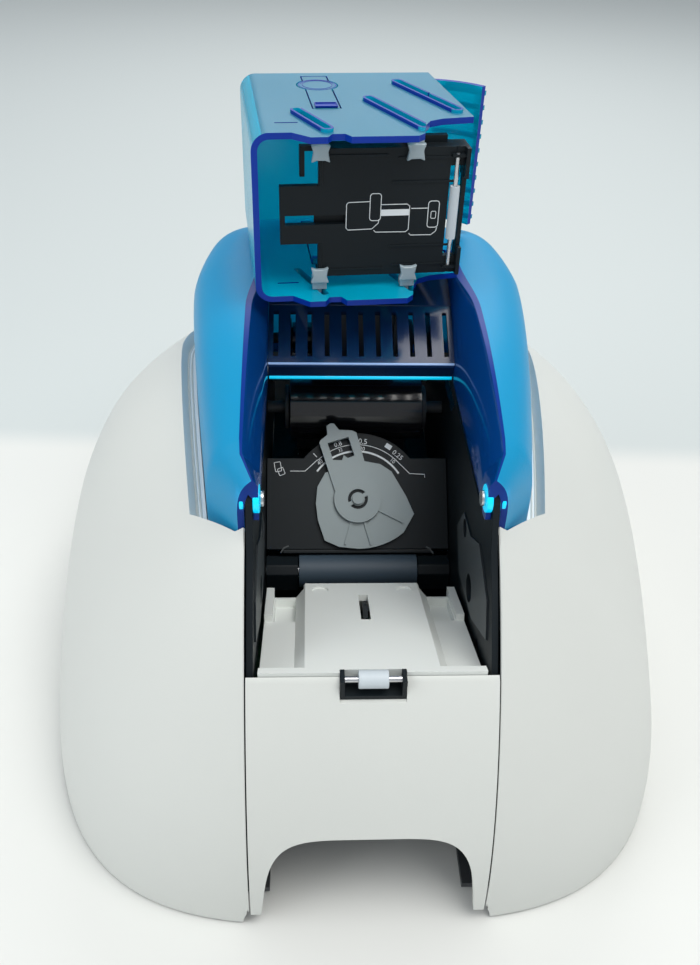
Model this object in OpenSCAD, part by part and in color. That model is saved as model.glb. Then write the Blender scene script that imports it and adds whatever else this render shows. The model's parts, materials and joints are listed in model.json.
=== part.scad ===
// Desktop card printer with a lifted-off feeder cover lying on its lid.
// X runs across the printer, Y runs from the feeder end to the far end, Z is up.
// The origin is on the table under the middle of the body.

/* [Body] */
// Length of the body from the front tips to the far end
body_l = 345; // [344:1:357]
// Width over the two side shells at their widest
body_w = 290; // [282:2:304]
// Distance from the front tips to the widest place
widest_y = 200; // [194:1:206]
// Height of the shells' crest at the front seam
crest_z = 178; // [174:1:184]
// Rise of the front seam: height squared over distance back
front_rise = 300; // [290:2:312]
// Rise of the far end, measured the same way
rear_rise = 260; // [250:5:300]
// Half the width of the gap for the front panel
front_seam_x = 47; // [46.8:0.1:48]
// Half the width of the gap for the rear panel
rear_seam_x = 60; // [57:1:63]
// Wall of the side shells
shell_t = 3; // [2.4:0.1:3.4]
// Width of the channel along the lid with its raised lip
strip_w = 6; // [5:0.5:7]
// Depth of that channel
strip_drop = 5; // [4:0.5:6]
// Height of the shells' lower edge over the table
shell_lift = 1.2; // [0.8:0.1:1.8]

/* [Front panel] */
// Wall of the front and rear panels
panel_t = 3; // [2.4:0.1:3.4]
// Height of the two legs' lower ends
leg_z = 7; // [6.4:0.2:9]
// Half the width of the arch at the bottom
arch_hw = 42.4; // [41:0.2:43.4]
// Height of the arch's top
arch_z = 47.5; // [42:0.5:52]
// Radius of the arch's shoulders
arch_r = 7; // [4:0.5:9]
// Width of the finger scoop in the front edge
scoop_w = 30; // [24:1:34]

/* [Feeder] */
// Width of a card
card_w = 54; // [53:0.5:55]
// Distance from the tips to the top of the ramp
ramp_y = 38; // [37:0.5:40]
// Height of the top of the ramp
ramp_z = 107; // [105:0.5:109]
// Slope of the ramp down towards the feed roller
ramp_tilt = 20.6; // [19:0.2:22]
// Length of the ramp
ramp_l = 80; // [77:0.5:82]
// Width of the raised track that carries the cards
track_w = 50; // [46:1:52]
// Width of the tray between the side frames
tray_w = 84; // [82:0.5:86]
// Height of the track over the side channels
track_h = 5; // [4:0.5:6]
// Distance from the tips to the feed roller's axis
feed_y = 138; // [136:0.5:140]
// Radius of the feed roller's rubber
feed_r = 8; // [7:0.25:9]
// Length of the feed roller's rubber
feed_l = 56; // [50:1:58]
// Width of the small idle roller at the top of the ramp
idle_l = 11; // [9:0.5:13]
// Radius of the small idle roller
idle_r = 3.4; // [3:0.1:3.8]
// Length of the card sensor's slot
flag_slot_l = 24; // [20:1:27]

/* [Card gauge] */
// Lean of the gauge plate from the horizontal
gauge_tilt = 43; // [41:0.5:45]
// Distance from the gate's edge up to the lever's pivot
gauge_v = 24.6; // [24:0.2:26]
// Radius of the arch at the top of the gauge plate
gauge_arch_r = 33; // [31:0.5:35]
// Thickness of the gauge plate
gauge_t = 3; // [2.5:0.25:4]
// Radius of the lever's hub
hub_r = 11.3; // [10:0.25:12]
// Thickness of the cam disc
cam_t = 2.6; // [2:0.1:3]
// Radius of the gauge pin
gauge_pin_r = 2; // [1.6:0.1:2.4]

/* [Lid] */
// Distance from the tips to the hinge pins
hinge_y = 79; // [77:0.5:81]
// Height of the hinge pins
hinge_z = 155; // [154.5:0.25:155.5]
// Diameter of the hinge pins
pin_d = 4; // [3.5:0.25:4.5]
// Height of the lid's crest
lid_z = 187; // [186:0.5:190]
// Half the width of the lid at its front corners
lid_front_hw = 62.6; // [61:0.2:64]
// Half the width of the lid at its widest
lid_mid_hw = 78; // [76:0.5:80]
// Half the width of the lid at its far end
lid_rear_hw = 63; // [62:0.5:65]
// Distance from the lid's far end to the body's far end
lid_back = 50; // [48:0.5:51]
// Wall of the lid
lid_t = 2.5; // [2:0.1:3]
// Gap between the lid and the side shells
lid_gap = 0.8; // [0.5:0.1:1.2]
// Half the width of the channel between the arms
channel_hw = 43.5; // [43.2:0.1:44]
// Thickness of the flange along each side of the channel
flange_t = 2; // [1.6:0.1:2.2]
// Distance from the tips to the slotted panel
vent_y = 168; // [166:0.5:170]
// Height of the slotted panel's lower edge
vent_z = 159; // [158:0.5:161]
// Slope of the slotted panel
vent_tilt = 30; // [26:0.5:32]
// Number of slots in the panel
vent_n = 11; // [8:1:12]
// Distance between two slots
vent_pitch = 7.6; // [6.8:0.1:7.7]
// Width of one slot
vent_slot = 2.2; // [1.6:0.1:2.8]

/* [Feeder cover] */
// Size of the lying cover from left to right
cover_x = 92; // [90:0.5:94]
// Depth of the lying cover from its open face to its back
cover_y = 86; // [84:0.5:88]
// Height of the lying cover over both cheeks
cover_z = 69; // [68:0.5:71]
// Wall of the cover
cover_t = 2.5; // [2:0.1:3]
// Distance from the tips to the cover's open face
cover_face_y = 172; // [170:0.5:175]
// Corner radius of the cover
cover_r = 7; // [5:0.5:9]
// Turn of the lying cover on the lid
cover_turn = 6; // [4:0.5:7]
// Number of ribs on the curved strip
rib_n = 10; // [8:1:11]
// Travel of the pusher plate against its springs
push_travel = 20; // [12:1:22]

/* [Card path] */
// Height of the card path through the printer
path_z = 64; // [62:0.5:66]
// Distance from the tips to the platen roller
platen_y = 236; // [235:0.5:238]
// Radius of the platen, cleaning and exit rollers
platen_r = 7; // [6:0.25:8]
// Distance from the tips to the cleaning roller
cleaner_y = 176; // [173:1:179]
// Distance from the exit roller to the body's far end
exit_back = 65; // [63:1:67]
// Radius of the roller shafts
shaft_r = 3; // [2.5:0.1:3.5]
// Distance from the tips to the full ribbon spool
supply_y = 206; // [204:0.5:207]
// Distance from the take-up spool to the body's far end
takeup_back = 68; // [66:0.5:68]
// Height of the ribbon spools' axes
spool_z = 112; // [110:0.5:114]
// Radius of the film wound on the full spool
film_r = 16; // [14:0.5:17]
// Radius of the film on the take-up spool
wound_r = 9; // [8:0.5:12]

/* [Hidden] */
$fn = 36;

// Half width of the body and the exponents of its outline
half_w = body_w / 2;
nose_pow = 3.4;
tail_pow = 3;
nose_reach = widest_y / pow(1 - pow(front_seam_x / half_w, nose_pow), 1 / nose_pow);
tail_reach = (body_l - widest_y) / pow(1 - pow(rear_seam_x / half_w, tail_pow), 1 / tail_pow);
rise_pow = 8;

// Running clearance of shafts in their bores, and gaps between parts
run_gap = 0.06;
fit_gap = 0.3;
seam_gap = 0.6;

// Stations along the body where the lid starts, turns, is widest, starts to fall and ends
lid_start_y = 75;
lid_corner_y = 92;
lid_widest_y = 215;
lid_fall_y = 246;
lid_end_y = body_l - lid_back;

// Places that keep their distance from the far end
exit_y = body_l - exit_back;
takeup_y = body_l - takeup_back;
frame_end_y = body_l - 56;

// Side frames
frame_t = 2.5;
frame_in = front_seam_x - 0.7 - frame_t;
frame_out = frame_in + frame_t;
base_z = 2.5;
base_t = 3;
floor_z = base_z + base_t;
lug_r = 4.5;

function smooth_min(a, b) = a * pow(1 + pow(a / b, rise_pow), -1 / rise_pow);

// Half width of the body at a distance y from the front tips
function plan_hw(y) = y < widest_y
    ? half_w * pow(1 - pow((widest_y - y) / nose_reach, nose_pow), 1 / nose_pow)
    : half_w * pow(1 - pow((y - widest_y) / tail_reach, tail_pow), 1 / tail_pow);

// Height of the front seam line at y, which both ends of the body fall away from
function seam_z(y) = smooth_min(smooth_min(sqrt(front_rise * y), sqrt(rear_rise * (body_l - y))), crest_z);

// Roundness of the cross-section: a pointed arch at the front that grows fuller to the rear
round_y = 80;
round_l = 120;
front_round = 2;
rear_round = 3.3;
function ease(t) = let (c = min(1, max(0, t))) c * c * (3 - 2 * c);
function roundness(y) = front_round + (rear_round - front_round) * ease((y - round_y) / round_l);

// Height of the arch that the shells are cut from, and of its surface at x
function arch_h(y) = seam_z(y) / pow(1 - front_seam_x / plan_hw(y), 1 / roundness(y));
function skin_z(x, y) = arch_h(y) * pow(max(0, 1 - x / plan_hw(y)), 1 / roundness(y));

function reverse(v) = [for (i = [len(v) - 1:-1:0]) v[i]];
function mix(a, b, t) = a + (b - a) * min(1, max(0, t));

// Half width of the lid at y
lid_spread = 1.15;
function lid_hw(y) = y < lid_corner_y
    ? mix(front_seam_x + lid_t, lid_front_hw, (y - lid_start_y) / (lid_corner_y - lid_start_y))
    : y < lid_widest_y
    ? lid_mid_hw - (lid_mid_hw - lid_front_hw)
        * pow((lid_widest_y - y) / (lid_widest_y - lid_corner_y), lid_spread)
    : lid_mid_hw - (lid_mid_hw - lid_rear_hw)
        * pow((y - lid_widest_y) / (lid_end_y - lid_widest_y), 2);

// Inner edge of a shell, and the size of the channel there
rear_gap = 3;
rear_corner = 3;
rear_bend_y = lid_end_y + rear_gap;
rear_turn_y = rear_bend_y + rear_corner;
function edge_x(y) = y < lid_end_y ? lid_hw(y) + (y < lid_start_y ? 0 : lid_gap)
    : mix(lid_rear_hw + lid_gap, rear_seam_x, (y - rear_bend_y) / rear_corner);
function strip(y) = y < lid_end_y ? mix(0.06, 1, (y - lid_start_y) / (lid_corner_y - lid_start_y))
    : mix(1, 0.06, (y - rear_bend_y) / rear_corner);
function rim_x(y) = edge_x(y) + strip_w * strip(y);
function rim_z(y) = skin_z(rim_x(y), y);

// Lower edge and crest of the lid at y
function lid_base_z(y) = rim_z(y) - strip_drop * strip(y) - 4 * strip(y);
lid_front_drop = 16;
lid_rear_drop = 34;
lid_fall_pow = 2.4;
function lid_top_z(y) = y < vent_y
    ? lid_z - lid_front_drop * pow((vent_y - y) / (vent_y - lid_start_y), 2.2)
    : y < lid_fall_y ? lid_z
    : lid_z - lid_rear_drop * pow((y - lid_fall_y) / (lid_end_y - lid_fall_y), lid_fall_pow);

// Closed solid through loops of one length, each an outer arc and its inner arc backwards
module skin(loops) {
    m = len(loops[0]);
    n = len(loops);
    pts = [for (l = loops) each l];
    sides = [for (i = [0:n - 2], j = [0:m - 1]) each [
        [i * m + j, i * m + (j + 1) % m, (i + 1) * m + (j + 1) % m],
        [i * m + j, (i + 1) * m + (j + 1) % m, (i + 1) * m + j]
    ]];
    last = (n - 1) * m;
    caps = [for (j = [0:m / 2 - 2]) each [
        [m - 1 - j, m - 2 - j, j + 1, j],
        [last + j, last + j + 1, last + m - 2 - j, last + m - 1 - j]
    ]];
    polyhedron(pts, concat(sides, caps), convexity = 8);
}

// Moves a part from the front tips' frame to the part's own origin
module bench() translate([0, -body_l / 2, 0]) children();
module left_right() { children(); mirror([1, 0, 0]) children(); }
// Cylinder along X between two x values
module x_rod(r, x0, x1, y, z) translate([x0, y, z]) rotate([0, 90, 0]) cylinder(r = r, h = x1 - x0);
// Tube along X
module x_tube(r, bore, x0, x1, y, z) difference() {
    x_rod(r, x0, x1, y, z);
    x_rod(bore, x0 - 1, x1 + 1, y, z);
}
// Plate in the Y-Z plane between two x values
module x_plate(x0, x1) translate([x0, 0, 0]) rotate([90, 0, 90]) linear_extrude(x1 - x0) children();

// Stations along the body, closer where the surface turns
function shell_stations() = concat(
    [for (i = [1:9]) lid_start_y * pow(i / 10, 2)],
    [lid_start_y - 0.5, lid_start_y],
    [for (i = [1:3]) mix(lid_start_y, lid_corner_y, i / 3)],
    [for (i = [1:13]) mix(lid_corner_y, lid_end_y, i / 13)],
    [rear_bend_y, rear_turn_y],
    [for (i = [6:-1:1]) body_l - (body_l - rear_turn_y) * pow(i / 7, 2)]
);

arc_n = 14;
strip_flat = 0.5;
// Arc of a cross-section from x down to the shell's lower edge
function shell_arc(x, y, w, h) = let (r = roundness(y))
    let (a0 = asin(sqrt(min(1, x / w))), a1 = acos(pow(min(1, shell_lift / h), r / 2)))
    [for (i = [0:arc_n]) let (a = mix(a0, a1, i / arc_n)) [w * pow(sin(a), 2), y, h * pow(cos(a), 2 / r)]];
// One cross-section of a side shell: channel, lip and outside down to the table, and back up inside
function shell_loop(y) =
    let (w = plan_hw(y), h = arch_h(y), x0 = edge_x(y), x1 = rim_x(y), x2 = x0 + strip_flat * (x1 - x0))
    let (t = min(shell_t, 0.35 * (w - x0)), z = rim_z(y) - strip_drop * strip(y))
    concat(
        [[x0, y, z], [x2, y, z]], shell_arc(x1, y, w, h),
        reverse(shell_arc(x1 + t / 2, y, w - t, h - t)), [[x2 + t / 2, y, z - t], [x0, y, z - t]]
    );

module shell_half() skin([for (y = shell_stations()) shell_loop(y)]);

module right_shell() color([0.85, 0.87, 0.84]) bench() shell_half();
module left_shell() color([0.85, 0.87, 0.84]) bench() mirror([1, 0, 0]) shell_half();

// Front panel: a curved wall between the shells with the ledge above and the arch below
panel_hw = front_seam_x - seam_gap;
panel_top_z = ramp_z - 3.5;
ledge_y = ramp_y - fit_gap;
panel_n = 12;
function panel_curve(z0, z1, back) = [for (i = [0:panel_n])
    let (z = mix(z0, z1, i / panel_n)) [z * z / front_rise + back, z]];
panel_outline = concat(
    panel_curve(leg_z, panel_top_z, 0),
    [[ledge_y, panel_top_z + 1.6], [ledge_y, panel_top_z - 2]],
    reverse(panel_curve(leg_z, panel_top_z - panel_t, panel_t))
);
// Arch with slightly inclined legs and rounded shoulders
arch_pow = 5;
arch_lean = 0.1;
arch_outline = [for (a = [0:5:180])
    let (k = pow(sin(a), 2 / arch_pow), s = sign(cos(a)))
    [s * arch_hw * (1 - arch_lean * k) * pow(abs(cos(a)), 2 / arch_pow), leg_z - 1 + (arch_z - leg_z + 1) * k]];
cup_hw = 12.3;
cup_z = panel_top_z - 6;
scoop_r = 28;

module front_panel() color([0.86, 0.88, 0.85]) bench() difference() {
    x_plate(-panel_hw, panel_hw) polygon(panel_outline);
    translate([0, 60, 0]) rotate([90, 0, 0]) linear_extrude(70) polygon(arch_outline);
    translate([-cup_hw, 20, cup_z]) cube([2 * cup_hw, 30, 20]);
    scoop_drop = scoop_r - sqrt(scoop_r * scoop_r - scoop_w * scoop_w / 4);
    translate([0, 24, panel_top_z + scoop_r - scoop_drop]) rotate([-90, 0, 0])
        cylinder(r = scoop_r, h = 11);
}

// Black cup in the ledge that carries the idle roller's shaft in two ears
idle_s = -1.6;
idle_y = ramp_y + idle_s * cos(ramp_tilt);
idle_z = ramp_z - idle_s * sin(ramp_tilt) - idle_r + 0.8;
idle_shaft_r = 1.2;
cup_t = 1.6;
cup_gap = 0.2;
cup_y = ramp_y - 4.8;
cup_d = 6.4;
module roller_cup() color([0.1, 0.11, 0.12]) bench() difference() {
    hw = cup_hw - cup_gap;
    union() {
        translate([-hw, cup_y, cup_z + cup_gap]) cube([2 * hw, cup_d, cup_t]);
        translate([-hw, cup_y + cup_d - cup_t, cup_z + cup_gap])
            cube([2 * hw, cup_t, idle_z - idle_r - 0.6 - cup_z - cup_gap]);
        for (s = [-1, 1]) translate([s * (hw - cup_t / 2) - cup_t / 2, cup_y, cup_z + cup_gap])
            cube([cup_t, cup_d, idle_z - cup_z + 1.8]);
    }
    x_rod(idle_shaft_r + run_gap, -2 * hw, 2 * hw, idle_y, idle_z);
}

module idle_roller() color([0.88, 0.89, 0.9]) bench()
    x_tube(idle_r, idle_shaft_r, -idle_l / 2, idle_l / 2, idle_y, idle_z);
module idle_shaft() color([0.75, 0.75, 0.77]) bench()
    x_rod(idle_shaft_r, -(cup_hw - cup_gap - 0.2), cup_hw - cup_gap - 0.2, idle_y, idle_z);

// Rear panel between the shells, behind the lid
rear_hw = rear_seam_x - seam_gap;
rear_y0 = rear_turn_y + seam_gap;
rear_n = 9;
rear_curve = [for (i = [0:rear_n]) let (y = body_l - 1 - (body_l - 1 - rear_y0) * pow(1 - i / rear_n, 2))
    [y, skin_z(rear_seam_x, y)]];
slot_w = card_w + 4;
slot_h = 7;
button_x = 38;
button_z = 42;
button_r = 5.5;
lights_x = 20;
lights_pitch = 9;
lights_r = 1.6;
function rear_y(z) = lookup(z, [for (p = rear_curve) [p[1], p[0]]]);
rear_skin_y = rear_y(button_z);
module rear_panel() color([0.86, 0.88, 0.85]) bench() difference() {
    x_plate(-rear_hw, rear_hw) polygon(concat(
        rear_curve,
        [[rear_curve[rear_n][0], rear_curve[rear_n][1] - panel_t]],
        [for (i = [rear_n - 1:-1:0]) [rear_curve[i][0] - panel_t, rear_curve[i][1] - (i > 0 ? panel_t / 2 : 0)]]
    ));
    translate([-slot_w / 2, rear_y0, path_z - 2.3]) cube([slot_w, 60, slot_h]);
    translate([button_x, rear_y0, button_z]) rotate([-90, 0, 0]) cylinder(r = button_r + fit_gap, h = 60);
    for (i = [0, 1]) translate([lights_x - i * lights_pitch, rear_y0, button_z]) rotate([-90, 0, 0])
        cylinder(r = lights_r + 0.1, h = 60);
}

// Base plate follows the shells' outline and carries the wall that the connectors sit in
base_inset = shell_t + 0.7;
base_y0 = 12;
base_side = [for (i = [0:24]) let (y = base_y0 + (body_l - 10 - base_y0) * (1 - cos(180 * i / 24)) / 2)
    [plan_hw(y) - base_inset, y]];
recess_y = 60;
recess_t = 2.5;
recess_top_z = 58;
inlet_x = 18;
inlet_z = 30;
port_x = -14;
rod_d = 4;
foot_r = 8;
foot_x = 95;
foot_y = 75;
foot_rear_y = body_l - 75;
notch_y = 46;
module base_plate() color([0.25, 0.26, 0.28]) bench() difference() {
    union() {
        translate([0, 0, base_z]) linear_extrude(base_t) difference() {
            polygon(concat(base_side, [for (i = [24:-1:0]) [-base_side[i][0], base_side[i][1]]]));
            translate([-arch_hw + 3, 0]) square([2 * arch_hw - 6, notch_y]);
        }
        translate([-frame_in + fit_gap, recess_y, floor_z])
            cube([2 * (frame_in - fit_gap), recess_t, recess_top_z - floor_z]);
    }
    translate([inlet_x - inlet_w / 2 - 0.2, recess_y - 1, inlet_z - inlet_h / 2 - 0.2])
        cube([inlet_w + 0.4, recess_t + 2, inlet_h + 0.4]);
    translate([port_x - port_w / 2 - 0.2, recess_y - 1, inlet_z - port_h / 2 - 0.2])
        cube([port_w + 0.4, recess_t + 2, port_h + 0.4]);
    for (s = [-1, 1], y = [foot_y, foot_rear_y]) translate([s * foot_x, y, 0])
        cylinder(r = screw_r + 0.2, h = 20);
}

module feet() color([0.12, 0.12, 0.12]) bench() for (s = [-1, 1], y = [foot_y, foot_rear_y])
    translate([s * foot_x, y, 0]) difference() {
        cylinder(r1 = foot_r - 1, r2 = foot_r, h = base_z);
        translate([0, 0, 1]) cylinder(r = screw_r + 0.2, h = base_z);
    }

screw_r = 1.5;
module chassis_screws() color([0.7, 0.7, 0.72]) bench() for (s = [-1, 1], y = [foot_y, foot_rear_y])
    translate([s * foot_x, y, 1.2]) {
        cylinder(r = screw_r, h = floor_z - 1.2 + 1);
        translate([0, 0, floor_z - 1.2]) cylinder(r = 2.8, h = 1.8);
    }

// Connectors
inlet_w = 14;
inlet_h = 11;
port_w = 12;
port_h = 11;
module socket_body(x, w, h, depth) translate([x, recess_y - 1.2, inlet_z]) rotate([-90, 0, 0]) difference() {
    union() {
        translate([-w / 2, -h / 2, 0]) cube([w, h, depth]);
        translate([-w / 2 - 1, -h / 2 - 1, 0]) cube([w + 2, h + 2, 1]);
    }
    translate([-w / 2 + 1, -h / 2 + 1, -1]) cube([w - 2, h - 2, depth - 1]);
}
module power_inlet() color([0.08, 0.08, 0.09]) bench() {
    socket_body(inlet_x, inlet_w, inlet_h, 14);
    translate([inlet_x, recess_y + 1, inlet_z]) rotate([-90, 0, 0]) cylinder(r = 1.2, h = 11.5);
}
module data_port() color([0.72, 0.72, 0.74]) bench() {
    socket_body(port_x, port_w, port_h, 14);
    translate([port_x - 2.8, recess_y + 1, inlet_z - 1.6]) cube([5.6, 11.5, 3.2]);
}

// Circuit board on four spacers behind the connectors
board_z = floor_z + 5;
board_w = 80;
board_l = 92;
board_t = 1.6;
board_y = recess_y + recess_t + 1;
module main_board() color([0.1, 0.35, 0.2]) bench() {
    translate([-board_w / 2, board_y, board_z]) cube([board_w, board_l, board_t]);
    for (s = [-1, 1], y = [board_y + 5, board_y + board_l - 5]) translate([s * (board_w / 2 - 4), y, floor_z])
        cylinder(r = 3, h = board_z - floor_z + 0.1);
    for (i = [0:3]) translate([-board_w / 2 + 10 + i * 16, board_y + 36, board_z + board_t - 0.1]) cube([10, 10, 1.8]);
    for (i = [0:4]) translate([-board_w / 2 + 8 + i * 15, board_y + 76, board_z + board_t - 0.1])
        cylinder(r = 4, h = 10);
}

// Side frames: flat plates with all the bores, and a lug for the lid hinge
frame_back = panel_t + 0.6;
frame_front = [for (i = [0:8]) let (z = mix(60, 139, i / 8)) [z * z / front_rise + frame_back, z]];
frame_top_z = 139;
frame_rear_z = 128;
// Round windows beside the feeder, from the top of the ramp: y, z and radius
windows = [[52, -9, 6], [28, -19, 3.5], [74, 5, 4]];
module window_holes() for (p = windows) translate([ramp_y + p[0], ramp_z + p[1]]) circle(r = p[2]);
module frame_holes() {
    for (p = bores) translate([p[0], p[1]]) circle(r = p[2]);
    translate([hinge_y, hinge_z]) circle(r = pin_d / 2 + run_gap);
    window_holes();
}
module side_frame() difference() {
    x_plate(frame_in, frame_out) difference() {
        union() {
            polygon(concat(
                [[base_y0 + 3, floor_z]], frame_front,
                [[hinge_y - lug_r, hinge_z], [hinge_y + lug_r, hinge_z], [hinge_y + lug_r + 8, frame_top_z],
                 [vent_y, frame_top_z], [vent_y + 10, frame_rear_z], [frame_end_y, frame_rear_z],
                 [frame_end_y, floor_z]]
            ));
            translate([hinge_y, hinge_z]) circle(r = lug_r);
        }
        frame_holes();
    }
}
feed_z = ramp_z - tan(ramp_tilt) * (feed_y - ramp_y) - feed_r + 1.4;
platen_z = path_z - platen_r + 0.5;
cleaner_z = path_z + platen_r + 1;
exit_z = path_z - platen_r + 0.5;
motor_y = 196;
motor_z = 28;
motor_r = 18;
bores = [
    [feed_y, feed_z, shaft_r + run_gap],
    [cleaner_y, cleaner_z, shaft_r + run_gap],
    [platen_y, platen_z, shaft_r + run_gap],
    [exit_y, exit_z, shaft_r + run_gap],
    [supply_y, spool_z, shaft_r + run_gap],
    [takeup_y, spool_z, shaft_r + run_gap],
    [motor_y, motor_z, 4.5]
];
module right_frame() color([0.13, 0.14, 0.15]) bench() {
    side_frame();
    frame_ribs();
}
module left_frame() color([0.13, 0.14, 0.15]) bench() mirror([1, 0, 0]) {
    side_frame();
    frame_ribs();
}
// Angular raised panel on the inner face beside the feeder
module frame_ribs() {
    x_plate(frame_in - 0.8, frame_in + 0.1) difference() {
        translate([ramp_y, ramp_z])
            polygon([[14, 1], [22, 14], [46, 21], [62, 11], [80, 9], [90, -7], [74, -21], [40, -15]]);
        window_holes();
    }
}

// Steel rods that tie the two frames
low_rod_z = 20;
rods = [[feed_y - 38, path_z - 8], [platen_y + 27, path_z + 30], [frame_end_y - 8, low_rod_z], [platen_y + 10, low_rod_z]];
module cross_rods() color([0.72, 0.72, 0.74]) bench()
    for (p = rods) x_rod(rod_d / 2, -frame_in + 0.1, frame_in - 0.1, p[0], p[1]);

// Feeder tray in the ramp's frame: x across, s down the ramp, n off the track
module on_ramp() bench() translate([0, ramp_y, ramp_z]) rotate([-ramp_tilt, 0, 0]) children();
tray_deep = 12;
track_hw = track_w / 2;
side_slant = 4;
pocket_s = 52;
flag_s = 43.5;
flag_slot_w = 4;
module tray_side_cut() {
    translate([0, 4, 0]) rotate([-90, 0, 0]) linear_extrude(ramp_l) polygon([
        [track_hw, -1], [track_hw, 0], [track_hw + side_slant, track_h], [tray_w / 2 + 1, track_h],
        [tray_w / 2 + 1, -1]
    ]);
    translate([track_hw + side_slant, pocket_s, -9]) cube([9, ramp_l - pocket_s - 6, 9]);
    translate([track_hw + 0.6, ramp_l - 4, -20]) cube([13, 10, 30]);
}
module tray_body() on_ramp() difference() {
    union() {
        difference() {
            translate([-tray_w / 2, 0, -tray_deep]) cube([tray_w, ramp_l, tray_deep]);
            left_right() tray_side_cut();
        }
        left_right() translate([tray_w / 2 - 3.4, pocket_s, -tray_deep]) cube([3.4, ramp_l - pocket_s, tray_deep - 2]);
    }
    translate([-track_hw + 3, 8, -tray_deep - 1]) cube([2 * track_hw - 6, ramp_l - 14, tray_deep - 2]);
    translate([-flag_slot_w / 2, flag_s, -20]) cube([flag_slot_w, flag_slot_l, 30]);
    for (s = [-1, 1]) translate([s * 18.5, ramp_l - 7, -0.8]) cylinder(r = 3.6, h = 2);
}
module feeder_tray() color([0.87, 0.89, 0.86]) {
    difference() {
        tray_body();
        bench() translate([-tray_w, ledge_y - 20, 60]) cube([2 * tray_w, 20 + fit_gap, 80]);
        bench() translate([-cup_hw, ledge_y, 60]) cube([2 * cup_hw, 2.4, 80]);
    }
    flag_bearings();
}
// Two eyes under the track that hold the flag's pin
module flag_bearings() on_ramp() for (s = [-1, 1]) translate([s * 3.6 - 1, flag_pivot_s, flag_pivot_n])
    difference() {
        translate([0, -2.4, -2.4]) cube([2, 4.8, 2.4 - flag_pivot_n - 2.9]);
        rotate([0, 90, 0]) translate([0, 0, -1]) cylinder(r = flag_pin_r + run_gap, h = 4);
    }

// Sensor flag that a card presses down, on a small cross pin moulded with it
flag_pivot_s = flag_s + flag_slot_l - 4;
flag_pivot_n = -7;
flag_pin_r = 1;
module card_flag() color([0.1, 0.11, 0.12]) on_ramp() {
    translate([-1, 0, 0]) rotate([90, 0, 90]) linear_extrude(2) polygon([
        [flag_pivot_s - 2, flag_pivot_n - 2], [flag_pivot_s + 2, flag_pivot_n - 2],
        [flag_pivot_s + 2, flag_pivot_n + 2], [flag_pivot_s - 6, 1.4], [flag_pivot_s - 12, 2.4],
        [flag_pivot_s - 17, -1]
    ]);
    translate([-5, flag_pivot_s, flag_pivot_n]) rotate([0, 90, 0]) cylinder(r = flag_pin_r, h = 10);
}

// Card gauge: plate frame with u across, v up the plate and w towards the feeder
gate_y = feed_y + 3;
gate_z = feed_z + feed_r + 1.6;
pivot_y = gate_y + gauge_v * cos(gauge_tilt);
pivot_z = gate_z + gauge_v * sin(gauge_tilt);
module on_gauge() bench() translate([0, pivot_y, pivot_z]) rotate([gauge_tilt, 0, 0]) children();
gauge_shoulder_v = 20.6;
gauge_hw = frame_in - fit_gap;
gate_hw = feed_l / 2 + 2;
module gauge_plate() color([0.1, 0.11, 0.12]) on_gauge() difference() {
    translate([0, 0, -gauge_t]) linear_extrude(gauge_t) union() {
        translate([-gauge_hw, -gauge_v + 1]) square([2 * gauge_hw, gauge_shoulder_v + gauge_v - 1]);
        intersection() {
            circle(r = gauge_arch_r);
            translate([-gauge_hw, 0]) square([2 * gauge_hw, 60]);
        }
    }
    translate([0, 0, -gauge_t - 1]) cylinder(r = gauge_pin_r + run_gap, h = gauge_t + 2);
}

module gauge_pin() color([0.62, 0.65, 0.66]) on_gauge() {
    translate([0, 0, -gauge_t]) cylinder(r = gauge_pin_r, h = gauge_t + cam_t + 3.2);
    translate([0, 0, -gauge_t - 1.2]) cylinder(r = gauge_pin_r + 1.6, h = 1.2);
    translate([0, 0, cam_t + 2.2]) cylinder(r = gauge_pin_r + 0.7, h = 1);
}

// Lever with its eccentric cam, drawn at the 0.8 mm mark
cam_low_r = 23.6;
cam_right = [26.9, -7];
cam_outline = concat(
    [[-15.5, 12.9], [-19.2, 6.2], [-20, -1.8], [-19, -10], [-15.8, -19.6], [-9.1, -22.6]],
    [for (a = [270:6:318]) [cam_low_r * cos(a) + (a - 270) * 0.09, cam_low_r * sin(a)]],
    [cam_right, [23.2, 1.7], [16.4, 13.6], [11, 17.2], [2.6, 18.8]]
);
arm_turn = 17.2;
arm_r = 38.5;
module gauge_arm_2d() difference() {
    polygon([[-9.2, 6], [-9.4, 31.5], [-8.4, 32.6], [-4.5, 34.2], [-3.6, arm_r], [-1.4, arm_r + 0.6],
        [0.2, arm_r], [1.6, 34.8], [7.4, 32.8], [9.2, 31.2], [8.2, 6]]);
    polygon([[-5.6, 21.6], [-1.5, 20.2], [0, 22.3], [1.5, 20.4], [4.9, 20.6], [4.9, 30.2], [-5.6, 30.2]]);
}
module cam_rib(a, r0, r1) rotate([0, 0, a]) translate([r0, -0.5, cam_t - 0.1]) cube([r1 - r0, 1, 1]);
lever_w = 0.4;
module thickness_lever() color([0.66, 0.69, 0.68]) on_gauge() translate([0, 0, lever_w]) difference() {
    union() {
        linear_extrude(cam_t - lever_w) polygon(cam_outline);
        rotate([0, 0, arm_turn]) linear_extrude(cam_t + 0.8) gauge_arm_2d();
        cylinder(r = hub_r, h = cam_t + 1.6);
        translate([0, 0, -lever_w]) {
            cam_rib(-27, hub_r - 1, 24.5);
            cam_rib(-74, hub_r - 1, 22.6);
            cam_rib(-106, hub_r - 1, 22.4);
        }
    }
    translate([0, 0, -1]) cylinder(r = gauge_pin_r + run_gap, h = 20);
    translate([0, 0, cam_t + 0.4]) difference() {
        cylinder(r = 4.8, h = 5);
        translate([0, 0, -1]) cylinder(r = 3.2, h = 8);
        rotate([0, 0, 32]) translate([-6, -0.9, -1]) cube([12, 1.8, 8]);
    }
}

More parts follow.
